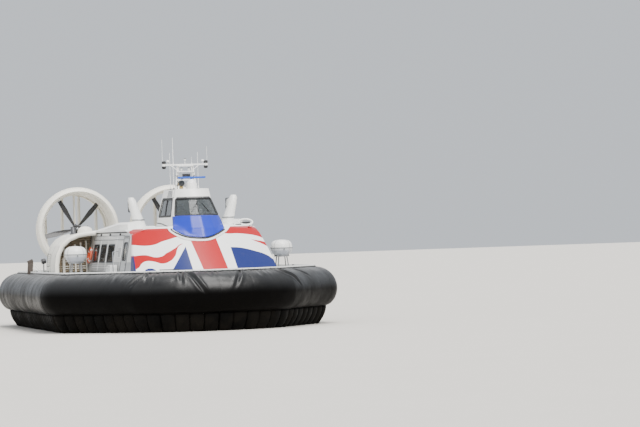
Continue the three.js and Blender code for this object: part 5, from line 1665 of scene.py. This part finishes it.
def build_liferaft(name, sign):
    """Glass fibre liferaft canister: two shells with a clamped seam, lashed down on a ring stand."""
    centre = Vector((sign * 4.53, -4.15 + SHIFT, 3.27))
    raft = Piece(f"liferaft_canister_{name}")
    profile = [tuple(p) for p in spline(RAFT_PROFILE, 34)]
    profile[0], profile[-1] = (0.0, RAFT_PROFILE[0][1]), (0.0, RAFT_PROFILE[-1][1])
    raft.turned(profile, "canister", centre, (0, 0, 1), 40)
    clamp = [(0.455, -0.022), (0.486, -0.016), (0.488, 0.0), (0.486, 0.016), (0.455, 0.022)]
    raft.turned(clamp, "plastic", centre, (0, 0, 1), 40)
    raft.finish(sharp=60)
    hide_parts(f"liferaft_{name}")
    straps = Piece(f"liferaft_straps_{name}")
    for turn in (35, 125):
        t = math.radians(turn)
        side = Vector((math.cos(t), math.sin(t), 0))
        arc = [side * r + Vector((0, 0, z)) for r, z in profile if z > -0.33]
        arc += [Vector((-p.x, -p.y, p.z)) for p in arc[-2::-1]]
        over = [(centre + p + p.normalized() * 0.002, p.normalized()) for p in arc]
        straps.band(over, 0.035, 0.004, "webbing")
    for k in range(4):
        t = math.radians(45 + 90 * k)
        foot = centre + Vector((0.30 * math.cos(t), 0.30 * math.sin(t), -0.33))
        half = Vector((0.03, 0.03, 0.03))
        straps.box(foot - half, foot + half, "metal", 0.008)
    release = [(0.0, 0.0), (0.03, 0.0), (0.03, 0.09), (0.0, 0.09)]
    straps.turned(release, "plastic", centre + Vector((0.0, -0.47, -0.10)), (0, 0, 1), 10)
    straps.finish(sharp=50)


# Raft and deck

# Strips round the raft's edge: distance out, height, upward lean, width and thickness
EDGE_STRIPS = (
    (0.016, 2.455, 0.0, 0.055, 0.024),
    # strip lying on the bag's top: rubber, and the black line of painted shadow under the rim
    (0.03, 2.432, 0.8, 0.05, 0.012),
    (0.05, 2.436, 0.0, 0.045, 0.030),
)
CLEAT_HORNS = ((-0.16, 0.095), (-0.08, 0.09), (0.08, 0.09), (0.16, 0.095))
CLEATS = ((1.6, -9.3), (4.75, -4.9), (4.6, 2.5), (3.9, 9.3))
# Deck hatches: place and half of the side
HATCHES = (
    (-3.9, -2.3, 0.28),
    (3.9, -2.3, 0.28),
    (-3.85, -0.6, 0.28),
    (3.85, -0.6, 0.28),
    (0.0, 7.0, 0.35),
    (-1.2, 6.2, 0.28),
    (1.2, 6.2, 0.28),
)


def edge_place(distance, reach, height):
    """A place beyond the raft's edge and the level direction outwards."""
    here, out = EDGE.station(distance)
    out = Vector((out.x, out.y, 0))
    return Vector((here.x, here.y, height)) + out * reach, out


def build_deck_edge():
    """Rubber strips round the raft's edge, the one on the bag's top also the black line of painted shadow
    under the rim, and the bolts that clamp the bag to it.
    """
    rim = Piece("deck_edge_trim")
    count = int(2 * EDGE.length / 0.12)
    for reach, height, lean, width, thick in EDGE_STRIPS:
        trace = []
        for k in range(count):
            place, out = edge_place(-EDGE.length + 2 * EDGE.length * k / count, reach, height)
            trace.append((place, (out + Vector((0, 0, lean))).normalized()))
        rim.band(trace, width, thick, "rubber_trim", closed=True)
    rim.finish(sharp=50)
    bolts = Piece("skirt_clamp_bolts")
    for mark in np.arange(-EDGE.length, EDGE.length, 0.30):
        place, out = edge_place(float(mark), 0.028, 2.495)
        bolts.turned([(0.0, 0.0), (0.016, 0.0), (0.013, 0.010), (0.0, 0.011)], "metal", place, out, 6)
    bolts.finish(sharp=40)


def build_deck_fittings():
    """Cleats, hatches and walkway pads, and a boarded post with a drum on the starboard quarter."""
    gear = Piece("deck_fittings")
    top = DECK_TOP
    for x, y in [(side * x, y) for x, y in CLEATS for side in (-1, 1)]:
        gear.slab((x, y), (0.05, 0.14), (top, top + 0.018), "metal", 0.004)
        for offset in (-0.06, 0.06):
            gear.tube([(x, y + offset, top + 0.01), (x, y + offset, top + 0.085)], 0.020, "metal", 10)
        horns = [(x, y + along, top + rise) for along, rise in CLEAT_HORNS]
        gear.tube(horns, [0.012, 0.02, 0.02, 0.012], "metal", 10)
    for x, y, half in HATCHES:
        gear.slab((x, y), (half, half), (top, top + 0.022), "grey", 0.008)
        gear.slab((x, y), (half - 0.05, half - 0.05), (top + 0.02, top + 0.030), "pad", 0.004)
        for hinge_x in (x - 0.12, x + 0.12):
            gear.slab((hinge_x, y - half + 0.015), (0.03, 0.035), (top + 0.012, top + 0.034), "metal", 0.004)
    for sign in (-1, 1):
        for k in range(7):
            y = -3.1 + 0.62 * k
            gear.box((sign * 3.35 - 0.17, y, top), (sign * 3.35 + 0.17, y + 0.5, top + 0.005), "pad")
    # boarded stern post outside the starboard edge, with its rails
    x, y = -5.14, 4.0
    gear.slab((x, y), (0.12, 0.06), (2.40, 2.98), "post", 0.02, tilt(4, "Y"))
    gear.slab((x, y), (0.13, 0.07), (2.93, 3.06), "post", 0.015, tilt(-22, "Y"))
    for start, bend, end in ((2.96, 2.90, 2.50), (2.82, 2.76, 2.50), (2.68, 2.62, 2.50)):
        reach = 0.56 - (2.96 - start) * 0.6
        rail = [(x + 0.10, y, start), (x + 0.26, y - 0.04, bend), (x + reach, y - 0.10, end)]
        gear.tube(rail, 0.016, "white_plastic", 8)
    drum = (x + 0.62, y + 0.05, 2.98)
    drum_profile = [(0.0, -0.10), (0.10, -0.10), (0.12, -0.06), (0.12, 0.06), (0.10, 0.10), (0.0, 0.10)]
    gear.turned(drum_profile, "dark", drum, (1, 0, 0.2), 20)
    gear.tube([(x + 0.62, y + 0.05, 2.44), (x + 0.62, y + 0.05, 2.90)], 0.03, "metal", 10)
    gear.finish(sharp=45)


def build_stern():
    """Door, louvred vents and lamp on the cabin's rear bulkhead."""
    aft = Drape("cabin_rear_bulkhead")
    rear = Piece("rear_bulkhead_fittings")
    frames = (
        ((-0.45, 0.45), (2.55, 3.95), 0.05), ((-2.3, -1.2), (2.8, 3.7), 0.03), ((1.2, 2.3), (2.8, 3.7), 0.03)
    )
    for sides, heights, width in frames:
        loop = rounded_outline(oblong(sides, heights), 0.08, 0.3)
        rear.band(aft.trace("stern", loop, -0.001), width, 0.018, "metal", closed=True)
    for side in (-1, 1):
        for k in range(9):
            z = 2.88 + 0.09 * k
            louvre = between((side * 1.28, z), (side * 2.22, z), 0.3)
            rear.band(aft.trace("stern", louvre), 0.045, 0.024, "grey")
    stern_lamp = [(0.0, 0.0), (0.09, 0.0), (0.09, 0.04), (0.06, 0.08), (0.0, 0.09)]
    rear.turned(stern_lamp, "clear_lamp", *aft.trace("stern", [(0.0, 4.05)])[0], 16)
    for z in (2.9, 3.6):
        rear.band(aft.trace("stern", between((-0.36, z), (-0.28, z), 0.04), 0.0), 0.05, 0.03, "metal")
    rear.finish(sharp=45)


DUCT_X = 2.22
DUCT_Z = 4.40
DUCT_FRONT = 7.05 + SHIFT


PROPELLER_Y = 7.76 + SHIFT
# Radius of the duct's outer face at distances behind its front edge
DUCT_SKIN = ((0.20, 1.906), (0.34, 1.918), (0.72, 1.880), (1.27, 1.765), (1.70, 1.665))


def duct_ring(cx, y, radius, count=64, start=0.0):
    """(place, outward) pairs round a duct's axis; start is a share of the spacing."""
    pairs = []
    for t in turns(count):
        t += start * 2 * math.pi / count
        away = Vector((math.cos(t), 0, math.sin(t)))
        pairs.append((Vector((cx, y, DUCT_Z)) + away * radius, away))
    return pairs


def build_duct_trim(name, sign):
    """Sheet seams, tip rings in the brown painted shade, fasteners and saddle brackets of a duct, and the
    caps on its rudder ring.
    """
    cx = sign * DUCT_X
    trim = Piece(f"duct_trim_{name}")
    for y, radius in DUCT_SKIN[1:-1]:
        trim.band(duct_ring(cx, DUCT_FRONT + y, radius), 0.03, 0.006, "cream", closed=True)
    rings = [duct_ring(cx, DUCT_FRONT + y, radius - 0.002, 16, 0.5) for y, radius in DUCT_SKIN]
    for line in zip(*rings):
        trim.band(line, 0.02, 0.005, "cream")
    # tip rings inside the bore, in the brown painted shade
    for y, radius, width in ((0.25, 1.572, 0.05), (-0.22, 1.574, 0.03)):
        bore = [(place, -away) for place, away in duct_ring(cx, PROPELLER_Y + y, radius)]
        trim.band(bore, width, 0.010, "shade", closed=True)
    mouth_bolt = [(0.0, 0.0), (0.016, 0.0), (0.012, 0.009), (0.0, 0.010)]
    for place, away in duct_ring(cx, DUCT_FRONT + 0.27, 1.577, 48, 0.5):
        trim.turned(mouth_bolt, "metal", place, -away, 6)
    rear_bolt = [(0.0, 0.0), (0.018, 0.0), (0.014, 0.010), (0.0, 0.011)]
    for place, away in duct_ring(cx, DUCT_FRONT + 1.60, 1.688, 48, 0.5):
        trim.turned(rear_bolt, "metal", place, away, 6)
    for x in (cx - 1.28, cx + 1.28):
        trim.slab((x, DUCT_FRONT + 0.7), (0.05, 0.4), (DECK_TOP, 2.53), "metal", 0.01)
    trim.finish(sharp=50)

    gear = Piece(f"rudder_ring_fittings_{name}")
    for offset in (-1.2, -0.4, 0.4, 1.2):
        reach = 0.9 if abs(offset) > 1 else 1.48
        for side in (-1, 1):
            place = Vector((cx + offset, 9.336, DUCT_Z + side * (reach + 0.062)))
            cap = [(0.0, 0.0), (0.052, 0.0), (0.052, 0.028), (0.03, 0.045), (0.0, 0.048)]
            gear.turned(cap, "steel", place, (0, 0, side), 14)
    gear.finish(sharp=45)


def build_propeller(name, sign):
    """Blade roots, nose cap and hub bolts, which turn with the propeller."""
    hub = Piece(f"propeller_fittings_{name}")
    place = Vector((sign * DUCT_X, PROPELLER_Y, DUCT_Z))
    root = [(0.0, 0.13), (0.085, 0.13), (0.095, 0.17), (0.09, 0.215), (0.07, 0.235), (0.0, 0.235)]
    for k in range(5):
        t = math.radians(42 + 72 * k)
        hub.turned(root, "steel", place, Vector((math.cos(t), 0, math.sin(t))), 16)
    nose = [(0.0, -0.36), (0.03, -0.355), (0.06, -0.34), (0.0, -0.33)]
    hub.turned(nose, "metal", place, (0, 1, 0), 16)
    for t in turns(8):
        spot = place + Vector((0.13 * math.cos(t), 0.172, 0.13 * math.sin(t)))
        hub.turned([(0.0, 0.0), (0.014, 0.0), (0.011, 0.010), (0.0, 0.011)], "metal", spot, (0, 1, 0), 6)
    hub.finish(f"propeller_{name}", sharp=45)


# Roof and mast


def build_roof_trim():
    """Seams and hatches on the cabin roof, the oval hoop and the slotted vent on its port side."""
    roof = Drape("cabin_roof")
    trim = Piece("roof_seams_and_fittings")
    for x in (-1.5, 0.0, 1.5):
        start = -3.8 if abs(x) < 1 else -3.9
        trim.band(roof.trace("above", between((x, start), (x, 4.3), 0.3), -0.001), 0.03, 0.010, "white")
    for y in (-2.6, -1.2, 0.2, 1.6, 3.0):
        trim.band(roof.trace("above", between((-2.2, y), (2.2, y), 0.2), -0.001), 0.025, 0.008, "white")
    for x, y in ((-0.75, -0.5), (0.75, -0.5), (-0.75, 2.3), (0.75, 2.3)):
        base = roof.trace("above", [(x, y)])[0][0]
        trim.slab((x, y), (0.36, 0.36), (base.z - 0.03, base.z + 0.045), "white", 0.015)
        trim.slab((x, y), (0.30, 0.30), (base.z + 0.04, base.z + 0.062), "grey", 0.01)
        handle = ((-0.06, -0.33, 0.05), (-0.06, -0.37, 0.075), (0.06, -0.37, 0.075), (0.06, -0.33, 0.05))
        trim.tube([base + Vector(p) for p in handle], 0.008, "metal", 6)
    # oval hoop on the port side of the roof, low dark slotted vent beside it
    foot = roof.trace("above", [(2.46, -5.9)])[0][0]
    oval = [
        foot + Vector((0.30 * math.cos(t), 0.12 * math.sin(t), 0.17 + 0.12 * math.sin(t)))
        for t in turns(28)
    ]
    trim.tube(oval, 0.042, "white_plastic", 10, closed=True)
    for dx in (-0.22, 0.22):
        leg = [foot + Vector((dx, -0.08, z)) for z in (-0.02, 0.09)]
        trim.tube(leg, 0.02, "white_plastic", 8)
    trim.box(foot + Vector((-0.22, 0.0, -0.02)), foot + Vector((0.20, 0.10, 0.19)), "dark", 0.02)
    base = roof.trace("above", [(2.05, -6.15)])[0][0]
    trim.box(base + Vector((-0.18, -0.14, -0.03)), base + Vector((0.18, 0.14, 0.11)), "white", 0.02)
    trim.box(base + Vector((-0.13, -0.15, 0.03)), base + Vector((0.13, -0.13, 0.075)), "dark", 0.004)
    trim.finish(sharp=45)


def build_thruster_fittings(name, sign):
    """Foot ring, outlet frame and outlet vanes of a bow thruster."""
    nozzle = Piece(f"thruster_fittings_{name}")
    skin = Drape(f"bow_thruster_{name}")
    centre_x, centre_y = sign * 1.96, -4.824
    ring = []
    for t in turns(40):
        away = Vector((math.cos(t), math.sin(t), 0))
        place = Vector((centre_x + 0.252 * away.x, centre_y + 0.272 * away.y, 4.66))
        ring.append((place, away))
    nozzle.band(ring, 0.05, 0.014, "metal", closed=True)
    x, z = centre_x + sign * 0.175, 5.25
    rear = skin.trace("stern", [(x, z + 0.26)])
    outline = rounded_outline(oblong((x, x), (z - 0.08, z + 0.08), 0.155), 0.03, 0.08)
    outlet_y = centre_y + 0.43 if not rear else max(rear[0][0].y, centre_y + 0.42)
    frame_trace = [(Vector((u, outlet_y, v)), Vector((0, 1, 0))) for u, v in outline]
    nozzle.band(frame_trace, 0.035, 0.02, "rubber_trim", closed=True)
    for k in range(6):
        height = z - 0.19 + 0.076 * k
        vane = (height - 0.004, height + 0.004)
        nozzle.slab((x, outlet_y - 0.06), (0.145, 0.04), vane, "steel", 0.0, tilt(20, "X"))
    nozzle.finish(f"bow_thruster_{name}", sharp=45)


# Mast fittings, as (radius, height) profiles
YARD_LAMP = (
    (0.0, 0.0),
    (0.066, 0.0),
    (0.088, 0.02),
    (0.092, 0.05),
    (0.088, 0.085),
    (0.066, 0.105),
    (0.066, 0.118),
    (0.0, 0.12),
)
CLEAR_LAMP = (
    (0.0, 0.0),
    (0.035, 0.0),
    (0.035, 0.02),
    (0.05, 0.03),
    (0.05, 0.10),
    (0.035, 0.115),
    (0.0, 0.12),
)
LAMP_CAP = ((0.0, 0.118), (0.055, 0.118), (0.05, 0.135), (0.0, 0.14))
HORN = (
    (0.0, 0.0),
    (0.012, 0.0),
    (0.014, 0.10),
    (0.022, 0.18),
    (0.045, 0.235),
    (0.052, 0.24),
    (0.045, 0.232),
    (0.0, 0.17),
)
DOME = ((0.0, 0.0), (0.014, 0.0), (0.014, 0.10), (0.066, 0.11), (0.072, 0.14), (0.05, 0.175), (0.0, 0.188))
WHIP_FOOT = ((0.031, 0.0), (0.05, 0.0), (0.05, 0.02), (0.036, 0.05), (0.031, 0.05))
UP = (0, 0, 1)


def build_mast_trim():
    """Navigation lamps, horns, cable runs, domes, whips on the yard and feet of the roof's whips."""
    mast = Piece("mast_fittings")
    y = -5.76 + SHIFT
    top = 6.94
    for x in (-0.91, 0.91):
        mast.turned(YARD_LAMP, "rubber_trim", (x, y, top + 0.058), UP, 18)
        mast.turned(YARD_LAMP, "rubber_trim", (x, y, top - 0.042), (0, 0, -1), 18)
    # masthead lamps, and horns on the cross bars
    for x, z in ((-0.16, 6.685), (0.16, 6.685), (0.0, 7.085)):
        place = (x, -5.79 + SHIFT, z)
        mast.turned(CLEAR_LAMP, "clear_lamp", place, UP, 16)
        mast.turned(LAMP_CAP, "dark", place, UP, 16)
    mast.tube([(0.0, -5.79 + SHIFT, 6.93), (0.0, -5.79 + SHIFT, 7.09)], 0.018, "white", 8)
    mast.box((-0.17, -6.01 + SHIFT, 6.43), (0.17, -5.93 + SHIFT, 6.56), "dark", 0.012)
    for x in (-0.24, 0.24):
        mast.turned(HORN, "metal", (x, -5.98 + SHIFT, 6.34), (0.0, -1.0, 0.0), 16)
    for side in (-1, 1):
        # braces from the legs to the yard, cable runs down the legs
        mast.tube([(side * 0.32, -5.78 + SHIFT, 6.70), (side * 0.62, -5.76 + SHIFT, 6.93)], 0.014, "white", 8)
        cable = ((0.40, -5.94, 5.90), (0.35, -5.86, 6.40), (0.30, -5.80, 6.90))
        mast.tube([(side * cx, cy + SHIFT, z) for cx, cy, z in cable], 0.011, "rubber_trim", 6)
        for z in (6.08, 6.48):
            mast.slab((side * 0.385, -5.85 + SHIFT), (0.07, 0.11), (z, z + 0.02), "metal", 0.004)
    for x, height in ((-0.97, 1.08), (-0.50, 0.66), (0.30, 0.30), (0.97, 0.74)):
        whip = [(0.0, 0.0), (0.022, 0.0), (0.018, 0.05), (0.009, 0.08), (0.006, height), (0.0, height)]
        mast.turned(whip, "white_plastic", (x, y, top + 0.03), UP, 8)
    for x in (-0.74, 0.78):
        mast.turned(DOME, "white_plastic", (x, y, top + 0.03), UP, 16)
    for x, foot_y in ((-0.64, -6.35), (-0.56, -5.35), (0.62, -5.50)):
        mast.turned(WHIP_FOOT, "dark", (x, foot_y + SHIFT, 5.90), UP, 14)
    mast.finish(sharp=45)


def build_searchlight():
    """Collar, rim, lens, trunnions and cooling ribs, which turn with the searchlight."""
    x, y, z = -0.43, -6.85 + SHIFT, 6.14
    ahead = (0, -1, 0)
    light = Piece("searchlight_fittings")
    collar = [(0.057, 0.01), (0.075, 0.01), (0.085, 0.03), (0.085, 0.10), (0.07, 0.125), (0.057, 0.125)]
    light.turned(collar, "brass", (x, y, 5.90), UP, 20)
    rim = [(0.121, -0.035), (0.128, -0.03), (0.128, 0.0), (0.122, 0.012), (0.102, 0.008), (0.0, 0.008)]
    light.turned(rim, "dark", (x, y - 0.13, z), ahead, 28)
    lens = [(0.0, 0.014), (0.05, 0.013), (0.10, 0.009), (0.102, 0.006), (0.0, 0.006)]
    light.turned(lens, "window", (x, y - 0.13, z), ahead, 28)
    for side in (-1, 1):
        light.slab((x + side * 0.125, y), (0.008, 0.035), (z - 0.11, z + 0.03), "brass", 0.004)
    rib = [(0.119, -0.007), (0.126, -0.005), (0.126, 0.005), (0.119, 0.007)]
    for k in range(3):
        light.turned(rib, "dark", (x, y - 0.02 + 0.035 * k, z), (0, 1, 0), 28)
    light.finish("searchlight", sharp=45)


def build_scanner():
    """End caps and a blue stripe, which turn with the radar scanner."""
    x, y, z = 0.06, -6.66 + SHIFT, 6.37
    scanner = Piece("radar_scanner_fittings")
    for side in (-1, 1):
        scanner.slab((x + side * 0.595, y), (0.012, 0.058), (z - 0.027, z + 0.047), "plastic", 0.008)
    ahead = Vector((0, -1, 0))
    stripe = [(Vector((x + u, y - 0.060, z + 0.01)), ahead) for u in np.linspace(-0.57, 0.57, 12)]
    scanner.band(stripe, 0.05, 0.006, "blue")
    scanner.finish("radar_scanner", sharp=45)


# Studio


def build_floor():
    """Plain pale floor."""
    floor = bpy.data.meshes.new("floor")
    size = 420.0
    corners = [(-size, -size, 0), (size, -size, 0), (size, size, 0), (-size, size, 0)]
    floor.from_pydata(corners, [], [(0, 1, 2, 3)])
    plane = bpy.data.objects.new("floor", floor)
    bpy.context.collection.objects.link(plane)
    s = Shader("studio_floor")
    s.put(Base_Color=s.mix(s.noise(0.3, 3.0), (0.60, 0.57, 0.52), (0.63, 0.60, 0.55)))
    s.put(Roughness=0.9)
    floor.materials.append(s.material)


def build_world():
    """Even pale light from all round, a little bluer and brighter higher up."""
    world = bpy.data.worlds.new("studio_world")
    bpy.context.scene.world = world
    world.use_nodes = True
    tree = world.node_tree
    tree.nodes.clear()
    out = tree.nodes.new("ShaderNodeOutputWorld")
    background = tree.nodes.new("ShaderNodeBackground")
    sky = tree.nodes.new("ShaderNodeTexCoord")
    split = tree.nodes.new("ShaderNodeSeparateXYZ")
    ramp = tree.nodes.new("ShaderNodeMapRange")
    ramp.inputs[1].default_value = -0.02
    ramp.inputs[2].default_value = 0.9
    mix = tree.nodes.new("ShaderNodeMix")
    mix.data_type = "RGBA"
    mix.inputs[6].default_value = (0.66, 0.70, 0.75, 1)
    mix.inputs[7].default_value = (0.86, 0.90, 0.96, 1)
    tree.links.new(sky.outputs["Generated"], split.inputs[0])
    tree.links.new(split.outputs[2], ramp.inputs[0])
    tree.links.new(ramp.outputs[0], mix.inputs[0])
    tree.links.new(mix.outputs[2], background.inputs[0])
    background.inputs[1].default_value = 1.08
    tree.links.new(background.outputs[0], out.inputs[0])


LIGHTS = (
    # name, direction that it shines from, softness in degrees, strength, colour
    ("key", (0.08, -0.68, 0.74), 38.0, 4.7, (1.0, 0.98, 0.95)),
    ("top", (0.08, -0.06, 1.0), 26.0, 1.7, (1.0, 0.99, 0.97)),
    ("fill", (-0.85, -0.50, 0.25), 60.0, 0.85, (0.96, 0.98, 1.0)),
    ("back", (0.1, 0.8, 0.6), 50.0, 0.4, (1.0, 0.99, 0.97)),
)


def build_lights():
    """Soft sun lamps."""
    for name, direction, softness, strength, colour in LIGHTS:
        data = bpy.data.lights.new(name, "SUN")
        data.angle = math.radians(softness)
        data.energy = strength
        data.color = colour
        light = bpy.data.objects.new(name, data)
        light.rotation_mode = "QUATERNION"
        light.rotation_quaternion = Vector(direction).to_track_quat("Z", "Y")
        bpy.context.collection.objects.link(light)


def on_both_sides(*builders):
    """Runs the builders for the starboard side and then for the port side."""
    for name, sign in SIDES:
        for build in builders:
            build(name, sign)


aim_camera()
dress_nodes()
build_bags()
build_fingers()
build_nose()
build_corner_caps()
GLAZING = Drape(*WHEELHOUSE_SKIN)
build_window_gaskets(GLAZING)
build_wipers(GLAZING)
build_wheelhouse_lines()
build_helm()
on_both_sides(build_cabin_windows)
on_both_sides(build_cabin_trim, build_side_deck_gear)
on_both_sides(build_seats)
on_both_sides(build_intake, build_cover_fittings)
on_both_sides(build_lifebuoy)
on_both_sides(build_liferaft)
build_deck_edge()
build_deck_fittings()
build_stern()
on_both_sides(build_duct_trim)
on_both_sides(build_propeller)
build_roof_trim()
on_both_sides(build_thruster_fittings)
build_mast_trim()
build_searchlight()
build_scanner()
build_floor()
build_world()
build_lights()
